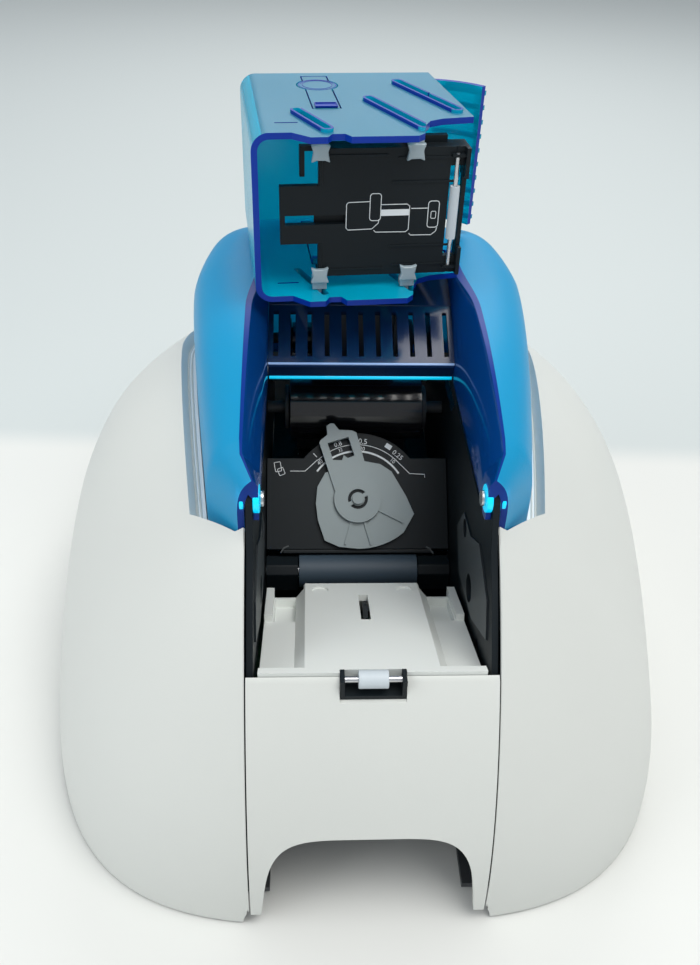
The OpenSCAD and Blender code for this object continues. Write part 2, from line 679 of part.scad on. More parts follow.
// Feed roller and the other rollers of the card path
shaft_end = frame_out + 0.8;
drive_end = frame_out + 8.5;
module roller(r, l, y, z) bench() x_tube(r, shaft_r, -l / 2, l / 2, y, z);
module feed_roller() color([0.24, 0.28, 0.34]) roller(feed_r, feed_l, feed_y, feed_z);
module feed_shaft() color([0.75, 0.75, 0.77]) bench() x_rod(shaft_r, -shaft_end, drive_end, feed_y, feed_z);
module cleaning_roller() color([0.85, 0.87, 0.9]) roller(platen_r, card_w + 2, cleaner_y, cleaner_z);
module cleaning_shaft() color([0.75, 0.75, 0.77]) bench()
    x_rod(shaft_r, -shaft_end, shaft_end, cleaner_y, cleaner_z);
module platen_roller() color([0.1, 0.1, 0.11]) roller(platen_r, card_w + 4, platen_y, platen_z);
module platen_shaft() color([0.75, 0.75, 0.77]) bench()
    x_rod(shaft_r, -shaft_end, drive_end, platen_y, platen_z);
module exit_roller() color([0.1, 0.1, 0.11]) roller(platen_r, card_w - 14, exit_y, exit_z);
module exit_shaft() color([0.75, 0.75, 0.77]) bench() x_rod(shaft_r, -shaft_end, shaft_end, exit_y, exit_z);

// Toothed pulleys on the outer side of the right frame, and the belt round them
pulley_x = frame_out + 1.2;
pulley_l = 6;
belt_t = 1.2;
drive_r = 10;
motor_pulley_r = 7;
module pulley(r, bore, y, z) translate([pulley_x, y, z]) rotate([90, 0, 90]) difference() {
    union() {
        linear_extrude(pulley_l) difference() {
            circle(r = r);
            for (i = [0:17]) rotate(i * 20) translate([r, 0]) square([0.8, 1.2], center = true);
        }
        cylinder(r = r + 1.6, h = 0.8);
    }
    translate([0, 0, -1]) cylinder(r = bore, h = pulley_l + 2);
}
module feed_pulley() color([0.9, 0.9, 0.88]) bench() pulley(drive_r, shaft_r, feed_y, feed_z);
module platen_pulley() color([0.9, 0.9, 0.88]) bench() pulley(drive_r, shaft_r, platen_y, platen_z);
motor_shaft_r = 2.5;
module motor_pulley() color([0.8, 0.8, 0.78]) bench() {
    pulley(motor_pulley_r, motor_shaft_r, motor_y, motor_z);
    x_rod(motor_shaft_r, frame_in - 1, pulley_x + pulley_l + 1, motor_y, motor_z);
}
module belt_path(grow) hull() {
    translate([feed_y, feed_z]) circle(r = drive_r + grow, $fn = 32);
    translate([platen_y, platen_z]) circle(r = drive_r + grow, $fn = 32);
    translate([motor_y, motor_z]) circle(r = motor_pulley_r + grow, $fn = 32);
}
module drive_belt() color([0.12, 0.12, 0.12]) bench() x_plate(pulley_x + 1.2, pulley_x + pulley_l - 0.4) difference() {
    belt_path(fit_gap + belt_t);
    belt_path(fit_gap);
}
module drive_motor() color([0.55, 0.56, 0.58]) bench() {
    x_rod(motor_r, frame_in - 36, frame_in - fit_gap - 2.5, motor_y, motor_z);
    x_tube(motor_r + 2, 5, frame_in - fit_gap - 2.5, frame_in - fit_gap, motor_y, motor_z);
}

// Bed that the cards run over, with windows for the rollers
guide_t = 2;
guide_y0 = 150;
chute_y = frame_end_y - 30;
chute_w = slot_w - 2 * fit_gap;
chute_end_y = rear_y(path_z) - panel_t - 2.5;
module card_guide() color([0.13, 0.14, 0.15]) bench() difference() {
    union() {
        translate([-frame_in + fit_gap, guide_y0, path_z - guide_t])
            cube([2 * (frame_in - fit_gap), frame_end_y - guide_y0 - 4, guide_t]);
        translate([-chute_w / 2, chute_y, path_z - guide_t]) cube([chute_w, chute_end_y - chute_y, guide_t]);
        left_right() translate([card_w / 2 + 1, guide_y0, path_z - 0.1]) cube([2, chute_end_y - guide_y0, 2.6]);
    }
    for (p = [[platen_y, card_w + 5], [exit_y, card_w - 12]])
        translate([-p[1] / 2, p[0] - platen_r - 0.5, path_z - 10]) cube([p[1], 2 * platen_r + 1, 11.5]);
    left_right() translate([card_w / 2 - 2, cleaner_y - 8, path_z + 0.8]) cube([8, 16, 8]);
    left_right() translate([card_w / 2 - 2, platen_y - 9, path_z - 0.1]) cube([8, 18, 8]);
}

// Ribbon spools
core_r = 6;
flange_r = 11;
spool_l = 70;
module spool(y) {
    x_rod(core_r, -spool_l / 2, spool_l / 2, y, spool_z);
    x_rod(flange_r, -spool_l / 2, -spool_l / 2 + 2, y, spool_z);
    x_rod(flange_r, spool_l / 2 - 2, spool_l / 2, y, spool_z);
    x_rod(shaft_r, -shaft_end, shaft_end, y, spool_z);
}
film_l = spool_l - 5;
module supply_core() color([0.2, 0.2, 0.22]) bench() spool(supply_y);
module takeup_core() color([0.2, 0.2, 0.22]) bench() spool(takeup_y);
module supply_film() color([0.06, 0.06, 0.07]) bench()
    x_tube(film_r, core_r, -film_l / 2, film_l / 2, supply_y, spool_z);
module takeup_film() color([0.06, 0.06, 0.07]) bench()
    x_tube(wound_r, core_r, -film_l / 2, film_l / 2, takeup_y, spool_z);

// Far side: button and lights
module control_button() color([0.1, 0.45, 0.8]) bench() translate([button_x, 0, button_z]) rotate([-90, 0, 0]) {
    translate([0, 0, rear_skin_y - 8]) cylinder(r = button_r, h = 11);
    translate([0, 0, rear_skin_y - 9.5]) cylinder(r = button_r + 1.5, h = 1.6);
}
module status_lights() color([0.5, 0.9, 0.5]) bench() for (i = [0, 1])
    translate([lights_x - i * lights_pitch, rear_skin_y - 6, button_z]) rotate([-90, 0, 0]) cylinder(r = lights_r, h = 7.5);
// Lid: two arms beside the channel and a dome behind them
arm_x = channel_hw - 0.5;
arm_end_y = 228;
// The lid's cross-section grows boxier from the arms' front ends to the dome
front_box = 4.5;
rear_box = 6.5;
function lid_pow(y) = front_box + (rear_box - front_box) * ease((y - lid_corner_y) / (lid_widest_y - lid_corner_y));
function lid_point(y, hw, z0, z1, a) = let (k = 2 / lid_pow(y))
    [sign(cos(a)) * hw * pow(abs(cos(a)), k), y, z0 + (z1 - z0) * pow(sin(a), k)];
function arm_top(y) = let (z0 = lid_base_z(y))
    z0 + (lid_top_z(y) - z0) * pow(1 - pow(arm_x / lid_hw(y), lid_pow(y)), 1 / lid_pow(y));
dome_n = 24;
function dome_arc(hw, y, z0, z1) = [for (i = [0:dome_n]) lid_point(y, hw, z0, z1, 180 * i / dome_n)];
function dome_loop(y) = let (hw = lid_hw(y), z0 = lid_base_z(y), z1 = lid_top_z(y))
    concat(dome_arc(hw, y, z0, z1), reverse(dome_arc(hw - lid_t, y, z0, z1 - lid_t)));
dome_stations = concat(
    [for (i = [0:2]) mix(lid_start_y, lid_corner_y, i / 2)],
    [for (i = [1:6]) mix(lid_corner_y, arm_end_y, i / 6)],
    [for (i = [1:6]) mix(arm_end_y, lid_end_y, i / 6)]
);

// Slotted panel between the arms
vent_l = 31;
vent_t = 2.5;
vent_end_y = vent_y + vent_l * cos(vent_tilt);
vent_end_z = vent_z + vent_l * sin(vent_tilt);
arm_low_z = 148.5;
boss_r = 4.5;
pin_end = front_seam_x + 1.4;
lug_gap = 1.5;
flange_top = [for (y = [lid_start_y + 6, 92, 110, 130, 150, 170, 190, 210, arm_end_y]) [y, arm_top(y) - 0.6]];
module flange_2d() {
    polygon(concat(
        [[lid_start_y + 1, arm_low_z], [vent_y, vent_z - 9], [vent_end_y, vent_end_z - 3],
         [arm_end_y, lid_top_z(arm_end_y) - 7]],
        [for (i = [len(flange_top) - 1:-1:0]) flange_top[i]],
        [[lid_start_y + 1, arm_top(lid_start_y + 1) - 2]]
    ));
    translate([hinge_y, hinge_z]) circle(r = 8);
}
module lid_arm() {
    x_plate(channel_hw - flange_t, channel_hw) flange_2d();
    x_rod(boss_r, front_seam_x, front_seam_x + 1.6, hinge_y, hinge_z);
}
end_arc = dome_arc(lid_hw(lid_end_y) - 0.9, lid_end_y, lid_base_z(lid_end_y), lid_top_z(lid_end_y) - 0.9);
module printer_lid() color([0.05, 0.45, 0.85, 0.75]) bench() difference() {
    union() {
        difference() {
            skin([for (y = dome_stations) dome_loop(y)]);
            translate([-arm_x, 0, 0]) cube([2 * arm_x, arm_end_y, 300]);
        }
        left_right() lid_arm();
        translate([0, lid_end_y - 0.4, 0]) rotate([90, 0, 0]) linear_extrude(lid_t) polygon([
            for (p = end_arc) [p[0], p[2]]
        ]);
    }
    x_rod(pin_d / 2 + 0.1, -pin_end - 0.1, pin_end + 0.1, hinge_y, hinge_z);
    left_right() x_rod(lug_r + lug_gap, frame_in - fit_gap, frame_out + fit_gap, hinge_y, hinge_z);
}
module lid_pins() color([0.78, 0.79, 0.8]) bench() left_right() {
    x_rod(pin_d / 2, channel_hw - flange_t - 1, pin_end, hinge_y, hinge_z);
    x_rod(pin_d / 2 + 1, channel_hw - flange_t - 1.8, channel_hw - flange_t - 0.3, hinge_y, hinge_z);
}

module on_vent() bench() translate([0, vent_y, vent_z]) rotate([vent_tilt, 0, 0]) children();
vent_hw = channel_hw - flange_t - 0.2;
ramp_rise = lid_top_z(arm_end_y) - lid_t - vent_end_z;
module slotted_panel() color([0.08, 0.1, 0.55, 0.85]) {
    on_vent() difference() {
        translate([-vent_hw, 0, -vent_t]) cube([2 * vent_hw, vent_l, vent_t]);
        for (i = [0:vent_n - 1]) translate([(i - (vent_n - 1) / 2) * vent_pitch - vent_slot / 2, 4, -5])
            cube([vent_slot, vent_l - 8, 10]);
    }
    bench() {
        x_plate(-vent_hw, vent_hw) polygon([
            [vent_y, vent_z], [vent_y + 3, vent_z - 9], [vent_y + 5, vent_z - 9], [vent_y + 2.6, vent_z - 1]
        ]);
        x_plate(-vent_hw, vent_hw) polygon([
            [vent_end_y - 1, vent_end_z - vent_t], [vent_end_y - 0.5, vent_end_z],
            [arm_end_y - 2.2, vent_end_z + ramp_rise], [arm_end_y - 2.2, vent_end_z + ramp_rise - vent_t]
        ]);
    }
}

// Print head on a bracket that hangs under the lid
head_hw = card_w / 2 + 3;
head_z = path_z + 1.2;
bracket_t = 3;
bracket_w = 44;
module head_bracket() color([0.2, 0.21, 0.23]) bench() {
    top = lid_z - lid_t - fit_gap;
    translate([-bracket_w / 2, platen_y - bracket_t / 2, head_z + 18]) cube([bracket_w, bracket_t, top - head_z - 18]);
    translate([-bracket_w / 2, arm_end_y + 0.5, top - 2.5]) cube([bracket_w, lid_fall_y - arm_end_y - 0.5, 2.5]);
    left_right() translate([bracket_w / 2 - 2, platen_y - 5, head_z + 18]) cube([2, 10, top - head_z - 18]);
    translate([-head_hw, platen_y - 6, head_z + 15]) cube([2 * head_hw, 12, 3.2]);
}
module print_head() color([0.62, 0.63, 0.65]) bench() {
    translate([-head_hw, platen_y - 5.5, head_z + 3]) cube([2 * head_hw, 11, 12]);
    translate([-card_w / 2, platen_y - 2, head_z]) cube([card_w, 5, 3.1]);
}

// Feeder cover lying on the lid: x to the right, y away from its open face, z up
loop_h = 1.4;
cover_left = -50;
cover_z0 = lid_z + fit_gap + loop_h;
module on_cover() bench() translate([cover_left, cover_face_y, cover_z0])
    translate([cover_x / 2, cover_y / 2, 0]) rotate([0, 0, cover_turn])
    translate([-cover_x / 2, -cover_y / 2, 0]) children();
module rounded_left(x, z, r) {
    translate([r, 0]) square([x - r, z]);
    translate([0, r]) square([r + 0.01, z - 2 * r]);
    for (v = [r, z - r]) translate([r, v]) circle(r = r);
}
cheek_front = [
    [-1, 0], [15.5, 0], [22, -6], [28.6, -6], [30.5, -2.5], [35.5, -2.5], [37.5, -6], [63, -6], [66, -3],
    [68, 6], [71, 12], [77, 15]
];
cheek_outline = concat(cheek_front, [[cover_x - 2, 17], [cover_x - 6, cover_y + 1], [-1, cover_y + 1]]);
slide_lean = 21;
slot_hw = 1.6;
shoe_r = 1.2;
// Slanted slots in the cheeks: x and y of the front end, and length
slots = [[29, 1.5, push_travel + 5.6], [66.4, 2, push_travel + 22], [84.5, 24, push_travel + 26]];
module at_slot(s) translate([s[0], s[1]]) rotate(slide_lean) children();
module stadium(l, hw) {
    translate([-hw, 0]) square([2 * hw, l]);
    circle(r = hw);
    translate([0, l]) circle(r = hw);
}
latch_x = 32.6;
latch_w = 11;
latch_y0 = 31;
latch_y1 = 80;
latch_gap = 0.5;
module cheek_holes() translate([0, 0, -1]) linear_extrude(cover_z + 2) {
    for (s = slots) at_slot(s) stadium(s[2], slot_hw);
    translate([latch_x - latch_w / 2 - latch_gap, latch_y0 - latch_gap])
        square([latch_w + 2 * latch_gap, latch_y1 - latch_y0 + 2 * latch_gap]);
    translate([latch_x, 66]) circle(r = ring_r + latch_gap);
    translate([10, 12]) square([9, 1]);
    translate([76, 46]) square([4, 1]);
}
ring_r = 8.6;
apron_n = 6;
apron_r = 40;
// Curved apron with a rib in each step
apron_arc = [for (i = [0:apron_n]) let (a = 8 + 42 * i / apron_n) [apron_r * sin(a), apron_r * cos(a) - apron_r]];
apron_arc_in = [for (i = [apron_n:-1:0]) let (a = 8 + 42 * i / apron_n)
    [(apron_r - cover_t) * sin(a), (apron_r - cover_t) * cos(a) - apron_r]];
module apron_2d() translate([cover_x - 13, cover_y]) polygon(concat(apron_arc, apron_arc_in));
module rib_2d() translate([cover_x - 13, cover_y]) polygon(concat(
    [for (i = [1:apron_n]) apron_arc[i] + [0.9, 0.9]], [for (i = [0:apron_n - 1]) apron_arc_in[i] + [0.4, 0.4]]
));
rib_t = 2;
module feeder_cover() color([0.1, 0.62, 0.9, 0.6]) on_cover() {
    difference() {
        union() {
            intersection() {
                translate([0, cover_y, 0]) rotate([90, 0, 0]) linear_extrude(cover_y + 8) difference() {
                    rounded_left(cover_x, cover_z, cover_r);
                    translate([cover_t, cover_t])
                        rounded_left(cover_x, cover_z - 2 * cover_t, cover_r - cover_t);
                }
                linear_extrude(cover_z) polygon(cheek_outline);
            }
            for (z = [-loop_h, cover_z - 0.1]) translate([0, 0, z]) linear_extrude(loop_h + 0.1)
                intersection() {
                    for (s = slots) at_slot(s) stadium(s[2], slot_hw + 1);
                    polygon(cheek_outline);
                }
        }
        translate([0, 0, -loop_h]) cheek_holes();
        translate([0, 0, loop_h]) cheek_holes();
    }
    intersection() {
        translate([0, cover_y, 0]) rotate([90, 0, 0]) linear_extrude(cover_t)
            rounded_left(cover_x, cover_z, cover_r);
        linear_extrude(cover_z) polygon(cheek_outline);
    }
    translate([0, 0, cover_t - 0.1]) linear_extrude(cover_z - 2 * cover_t + 0.2) apron_2d();
    for (i = [0:rib_n - 1])
        translate([0, 0, cover_t + (cover_z - 2 * cover_t) * (i + 0.5) / rib_n - rib_t / 2])
            linear_extrude(rib_t) rib_2d();
}

// Finger latch: a tongue cut free in the cheek, with a ring to press and a hook inside
module latch() {
    translate([latch_x - latch_w / 2, latch_y0, 0]) cube([latch_w, latch_y1 - latch_y0, cover_t]);
    translate([latch_x, 66, 0]) cylinder(r = ring_r, h = cover_t);
    translate([latch_x - latch_w / 2, latch_y0, cover_t - 0.1]) cube([latch_w, 3, 2.6]);
}
module bottom_latch() color([0.1, 0.62, 0.9, 0.6]) on_cover() latch();
module top_latch() color([0.1, 0.62, 0.9, 0.6]) on_cover() translate([0, 0, cover_z]) mirror([0, 0, 1]) latch();

// Pusher plate with its shoes, springs and roller
plate_y = 6;
plate_t = 3;
plate_z0 = 8;
plate_z1 = cover_z - 8;
plate_x0 = 26.5;
plate_x1 = cover_x - 5.5;
mid_z = cover_z / 2;
module pusher_plate() color([0.1, 0.1, 0.11]) on_cover() {
    difference() {
        union() {
            translate([plate_x0, plate_y, plate_z0]) cube([plate_x1 - plate_x0, plate_t, plate_z1 - plate_z0]);
            translate([11, plate_y, mid_z - 12]) cube([plate_x0 - 10.9, plate_t, 24]);
            for (z = [plate_z0, plate_z1 - 1.6])
                translate([plate_x0, plate_y + 1, z]) cube([plate_x1 - plate_x0, 8, 1.6]);
            for (z = [plate_z0, plate_z1 - 12]) translate([plate_x1 - 1.6, plate_y - 3, z])
                cube([1.6, plate_t + 6, 12]);
        }
        translate([13, plate_y - 1, mid_z - 4]) cube([12, plate_t + 2, 4]);
        translate([plate_x1 - 7, plate_y - 1, mid_z - 19]) cube([5.2, plate_t + 2, 38]);
        translate([plate_x1 - 4.6, plate_y - 0.6, 0]) cylinder(r = push_shaft_r + run_gap, h = cover_z);
    }
    for (z = [plate_z0 + 2.6, plate_z1 - 3.8]) translate([plate_x1 - 7, plate_y - 2, z])
        difference() {
            cube([5.5, 3, 1.2]);
            translate([2.4, 1.4, -1]) cylinder(r = push_shaft_r + run_gap, h = 4);
        }
    translate([plate_x0 - 7, plate_y + 5, mid_z + 14]) cube([2, 3, 12]);
    translate([plate_x0 - 7, plate_y + 5, mid_z + 24]) cube([10, 3, 2]);
    translate([plate_x1 - 26, plate_y + 5, plate_z1 - 0.1]) cube([18, 3, 3]);
}
push_shaft_r = 0.9;
push_roller_r = 2;
push_roller_l = 22;
push_x = plate_x1 - 4.6;
push_y = plate_y - 0.6;
module pusher_roller() color([0.9, 0.9, 0.92]) on_cover() translate([push_x, push_y, mid_z - push_roller_l / 2])
    difference() {
        cylinder(r = push_roller_r, h = push_roller_l);
        translate([0, 0, -1]) cylinder(r = push_shaft_r, h = push_roller_l + 2);
    }
module pusher_shaft() color([0.78, 0.79, 0.8]) on_cover()
    translate([push_x, push_y, plate_z0 + 2.4]) cylinder(r = push_shaft_r, h = plate_z1 - plate_z0 - 4.8);

// Translucent shoes whose pins run in the slanted slots
module shoe(x, y) translate([x - 3, plate_y - 1.4, plate_z1 + 0.2]) {
    cube([6, plate_t + 1.4, cover_z - cover_t - plate_z1 - 0.6]);
    translate([3, y - plate_y + 1.4, 0]) cylinder(r = shoe_r, h = cover_z - plate_z1 - 1);
    translate([0.4, plate_t + 1, 0]) cube([5.2, 2.2, 3]);
}
module plate_clips() color([0.8, 0.84, 0.88]) on_cover() for (m = [0, 1])
    translate([0, 0, m * cover_z]) mirror([0, 0, m]) for (s = [slots[0], slots[1]]) {
        y = plate_y + 0.4;
        x = s[0] - (y - s[1]) * tan(slide_lean);
        shoe(x, y);
    }
spring_r = 2.4;
module pusher_springs() color([0.45, 0.47, 0.48]) on_cover() {
    translate([25.2, plate_y + plate_t + spring_r, mid_z - 2]) rotate([0, 90, 0]) cylinder(r = spring_r, h = 12);
    translate([plate_x1 - 24, plate_y + plate_t + spring_r, plate_z1 - 4]) rotate([0, 90, 0]) cylinder(r = spring_r, h = 14);
}

left_shell();
right_shell();
front_panel();
rear_panel();
base_plate();
feet();
left_frame();
right_frame();
cross_rods();
feeder_tray();
roller_cup();
gauge_plate();
gauge_pin();
card_guide();
drive_motor();
drive_belt();
main_board();
power_inlet();
data_port();
status_lights();
chassis_screws();
thickness_lever();
feed_roller();
feed_shaft();
feed_pulley();
idle_roller();
idle_shaft();
card_flag();
cleaning_roller();
cleaning_shaft();
platen_roller();
platen_shaft();
platen_pulley();
exit_roller();
exit_shaft();
motor_pulley();
supply_core();
supply_film();
takeup_core();
takeup_film();
control_button();
printer_lid();
slotted_panel();
lid_pins();
head_bracket();
print_head();
feeder_cover();
top_latch();
bottom_latch();
pusher_plate();
plate_clips();
pusher_springs();
pusher_roller();
pusher_shaft();
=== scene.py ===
import bpy
import bmesh
import json
from math import acos, asin, cos, pi, radians, sin, sqrt
from mathutils import Matrix, Vector


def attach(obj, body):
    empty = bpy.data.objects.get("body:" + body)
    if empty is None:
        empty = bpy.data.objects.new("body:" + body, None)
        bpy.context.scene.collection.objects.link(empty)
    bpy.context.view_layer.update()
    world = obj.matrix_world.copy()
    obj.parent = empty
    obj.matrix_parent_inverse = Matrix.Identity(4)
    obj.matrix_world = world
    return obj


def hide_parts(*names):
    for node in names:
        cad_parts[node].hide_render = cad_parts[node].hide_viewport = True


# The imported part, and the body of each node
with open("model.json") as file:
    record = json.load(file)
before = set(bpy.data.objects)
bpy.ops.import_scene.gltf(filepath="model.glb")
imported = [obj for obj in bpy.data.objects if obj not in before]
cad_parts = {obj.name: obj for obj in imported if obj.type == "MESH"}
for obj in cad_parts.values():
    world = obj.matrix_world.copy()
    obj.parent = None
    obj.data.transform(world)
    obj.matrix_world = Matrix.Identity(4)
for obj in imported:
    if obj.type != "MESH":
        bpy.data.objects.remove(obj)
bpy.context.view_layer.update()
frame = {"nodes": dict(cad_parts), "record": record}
record = frame["record"]
body_of_node = {n: body for body, nodes in record["behaviour"]["bodies"].items() for n in nodes}


# ---- Camera, floor and studio light
# The camera looks down on the feeder end. The floor is a plain pale sheet that turns greyer
# behind the printer, as a wall would, and three large soft lamps stand round it.

body_length = 345


def bench(x, y, z):
    """A point in metres from millimetres measured from the front tips."""
    return Vector((x, y - body_length / 2, z)) / 1000


camera_place = bench(-23.7, -176.6, 361.5)
camera_pitch = radians(37.88)
camera_yaw = radians(-3.38)
camera_roll = radians(2.05)
focal_px = 900
picture_height_px = 965
sensor_mm = 36

camera_data = bpy.data.cameras.new("camera")
camera_data.sensor_width = sensor_mm
camera_data.lens = focal_px / picture_height_px * sensor_mm
camera_data.clip_start = 0.01
camera = bpy.data.objects.new("camera", camera_data)
camera.matrix_world = (
    Matrix.Translation(camera_place)
    @ Matrix.Rotation(camera_yaw, 4, "Z")
    @ Matrix.Rotation(pi / 2 - camera_pitch, 4, "X")
    @ Matrix.Rotation(camera_roll, 4, "Z")
)
bpy.context.scene.collection.objects.link(camera)
bpy.context.scene.camera = camera
bpy.context.scene.view_settings.view_transform = "Standard"


def shader(name):
    """A new node material, with its tree and its main shader."""
    material = bpy.data.materials.new(name)
    material.use_nodes = True
    tree = material.node_tree
    return material, tree, tree.nodes["Principled BSDF"]


def settle(node, values):
    """Sets a node's sockets by name."""
    for name, value in values.items():
        node.inputs[name].default_value = value


def add_node(tree, kind, values=(), **settings):
    """A node with its sockets and its settings."""
    node = tree.nodes.new(kind)
    settle(node, dict(values))
    for name, value in settings.items():
        setattr(node, name, value)
    return node


def connect(tree, *links):
    """Links nodes, each link given as node, output, node, input."""
    for source, output, target, entry in links:
        tree.links.new(source.outputs[output], target.inputs[entry])


near_floor = (0.75, 0.76, 0.735, 1)
far_floor = (0.60, 0.645, 0.64, 1)
floor_turn = radians(2.6)
floor_line, floor_fade, floor_reach = 0.155, 0.03, 6
floor_material, tree, floor_shader = shader("studio_floor")
settle(floor_shader, {"Roughness": 0.7})
place = add_node(tree, "ShaderNodeTexCoord")
turn = add_node(tree, "ShaderNodeMapping", {"Rotation": (0, 0, floor_turn)})
split = add_node(tree, "ShaderNodeSeparateXYZ")
fade = add_node(
    tree, "ShaderNodeMapRange",
    {"From Min": floor_line - floor_fade / 2, "From Max": floor_line + floor_fade / 2},
    interpolation_type="SMOOTHSTEP",
)
tone = add_node(tree, "ShaderNodeMixRGB", {"Color1": near_floor, "Color2": far_floor})
connect(
    tree, (place, "Object", turn, "Vector"), (turn, "Vector", split, "Vector"),
    (split, "Y", fade, "Value"), (fade, "Result", tone, "Fac"),
    (tone, "Color", floor_shader, "Base Color"),
)
floor_mesh = bpy.data.meshes.new("floor")
corners = [(x * floor_reach, y * floor_reach, 0) for x, y in ((-1, -1), (1, -1), (1, 1), (-1, 1))]
floor_mesh.from_pydata(corners, [], [(0, 1, 2, 3)])
floor_mesh.materials.append(floor_material)
floor = bpy.data.objects.new("floor", floor_mesh)
bpy.context.scene.collection.objects.link(floor)

world = bpy.data.worlds.new("studio")
world.use_nodes = True
settle(world.node_tree.nodes["Background"], {"Color": (0.86, 0.9, 0.95, 1), "Strength": 0.5})
bpy.context.scene.world = world


def soft_lamp(name, place, target, size, watts, colour):
    """A large lamp at a place, turned to its target. Places and sizes are in metres."""
    data = bpy.data.lights.new(name, "AREA")
    data.shape = "RECTANGLE"
    data.size, data.size_y = size
    data.energy = watts
    data.color = colour
    lamp = bpy.data.objects.new(name, data)
    lamp.location = place
    lamp.rotation_euler = (Vector(target) - Vector(place)).to_track_quat("-Z", "Y").to_euler()
    bpy.context.scene.collection.objects.link(lamp)


soft_lamp("key_lamp", (0.4, -0.35, 1.5), (0, 0, 0.08), (1.0, 1.0), 15.5, (1, 0.985, 0.95))
soft_lamp("fill_lamp", (-1.2, -0.5, 1.0), (0, 0, 0.08), (1.0, 0.8), 7, (0.96, 0.985, 1))
soft_lamp("rear_lamp", (0.2, 1.3, 1.1), (0, 0, 0.1), (1.2, 0.6), 8, (1, 1, 1))


# ---- Side shells
# Two egg-shaped shells of white moulded plastic with a fine spark texture, clipped to the base.
# Each is half of an arch that swells and falls along the body, with a sunk and grooved strip
# where the lid's edge lies.

half_width = 145
widest_y = 200
crest_height = 178
front_rise, rear_rise = 300, 260
front_seam_x, rear_seam_x = 47, 60
nose_power, tail_power, rise_power = 3.4, 3, 8
nose_reach = widest_y / (1 - (front_seam_x / half_width) ** nose_power) ** (1 / nose_power)
tail_share = (1 - (rear_seam_x / half_width) ** tail_power) ** (1 / tail_power)
tail_reach = (body_length - widest_y) / tail_share
round_start_y, round_run = 80, 120
front_round, rear_round = 2, 3.3
lid_start_y, lid_corner_y, lid_widest_y, lid_end_y = 75, 92, 215, 295
lid_front_width, lid_mid_width, lid_rear_width = 62.6, 78, 63
lid_spread = 1.15
lid_wall = 2.5
lid_gap = 0.8
rear_bend_y, rear_turn_y = lid_end_y + 3, lid_end_y + 6
strip_width, strip_drop, thin_strip = 6, 5, 0.06
shell_wall, shell_lift = 3, 1.2
thin_wall_share = 0.35
# Depth of the strip's floor at even shares of its width: fine ridges between grooves
channel_ridges = (0, 0.45, 0.45, 0, 0.45, 0.45, 0, 0.45)
channel_share, channel_start = 0.55, 0.55
# Ledge under the lid's lower edge, which closes the gap from above
ledge_drop, ledge_width, ledge_wall, ledge_overlap = 4.9, 2.6, 1, 0.1
# The strip's floor is painted paler than the shell, painted light against the shade of its deep
# channel: its reach, its depth, and how level a face must be
paint_reach, paint_drop, paint_level = 6.5, 3, 0.8


def between(a, b, t):
    """From a to b as t goes from 0 to 1, and no further."""
    return a + (b - a) * min(1, max(0, t))


def ease(t):
    """A soft start and stop from 0 to 1."""
    t = min(1, max(0, t))
    return t * t * (3 - 2 * t)


def smooth_min(a, b):
    """The lesser of two heights, with a rounded change from one to the other."""
    return a * (1 + (a / b) ** rise_power) ** (-1 / rise_power)


def plan_half_width(y):
    if y < widest_y:
        return half_width * (1 - ((widest_y - y) / nose_reach) ** nose_power) ** (1 / nose_power)
    return half_width * (1 - ((y - widest_y) / tail_reach) ** tail_power) ** (1 / tail_power)


def roundness(y):
    """Power of the arch: near 2 it is an ellipse, and above it the side stands fuller."""
    return between(front_round, rear_round, ease((y - round_start_y) / round_run))


def arch_height(y):
    """Height of the arch at the middle, from the height that the seam has to reach."""
    seam = smooth_min(sqrt(front_rise * y), sqrt(rear_rise * (body_length - y)))
    seam_share = (1 - front_seam_x / plan_half_width(y)) ** (1 / roundness(y))
    return smooth_min(seam, crest_height) / seam_share


def skin_height(x, y):
    return arch_height(y) * max(0, 1 - x / plan_half_width(y)) ** (1 / roundness(y))


def lid_half_width(y):
    if y < lid_corner_y:
        share = (y - lid_start_y) / (lid_corner_y - lid_start_y)
        return between(front_seam_x + lid_wall, lid_front_width, share)
    if y < lid_widest_y:
        share = (lid_widest_y - y) / (lid_widest_y - lid_corner_y)
        return lid_mid_width - (lid_mid_width - lid_front_width) * share**lid_spread
    share = (y - lid_widest_y) / (lid_end_y - lid_widest_y)
    return lid_mid_width - (lid_mid_width - lid_rear_width) * share**2


def shell_edge(y):
    """Where the shell starts beside the panels and the lid."""
    if y < lid_start_y:
        return front_seam_x
    if y < lid_end_y:
        return lid_half_width(y) + lid_gap
    share = (y - rear_bend_y) / (rear_turn_y - rear_bend_y)
    return between(lid_rear_width + lid_gap, rear_seam_x, share)


def strip_share(y):
    """How much of the strip is left: it runs out in front of the lid and behind it."""
    if y < lid_end_y:
        return between(thin_strip, 1, (y - lid_start_y) / (lid_corner_y - lid_start_y))
    return between(1, thin_strip, (y - rear_bend_y) / (rear_turn_y - rear_bend_y))


def rim_height(y):
    return skin_height(shell_edge(y) + strip_width * strip_share(y), y)


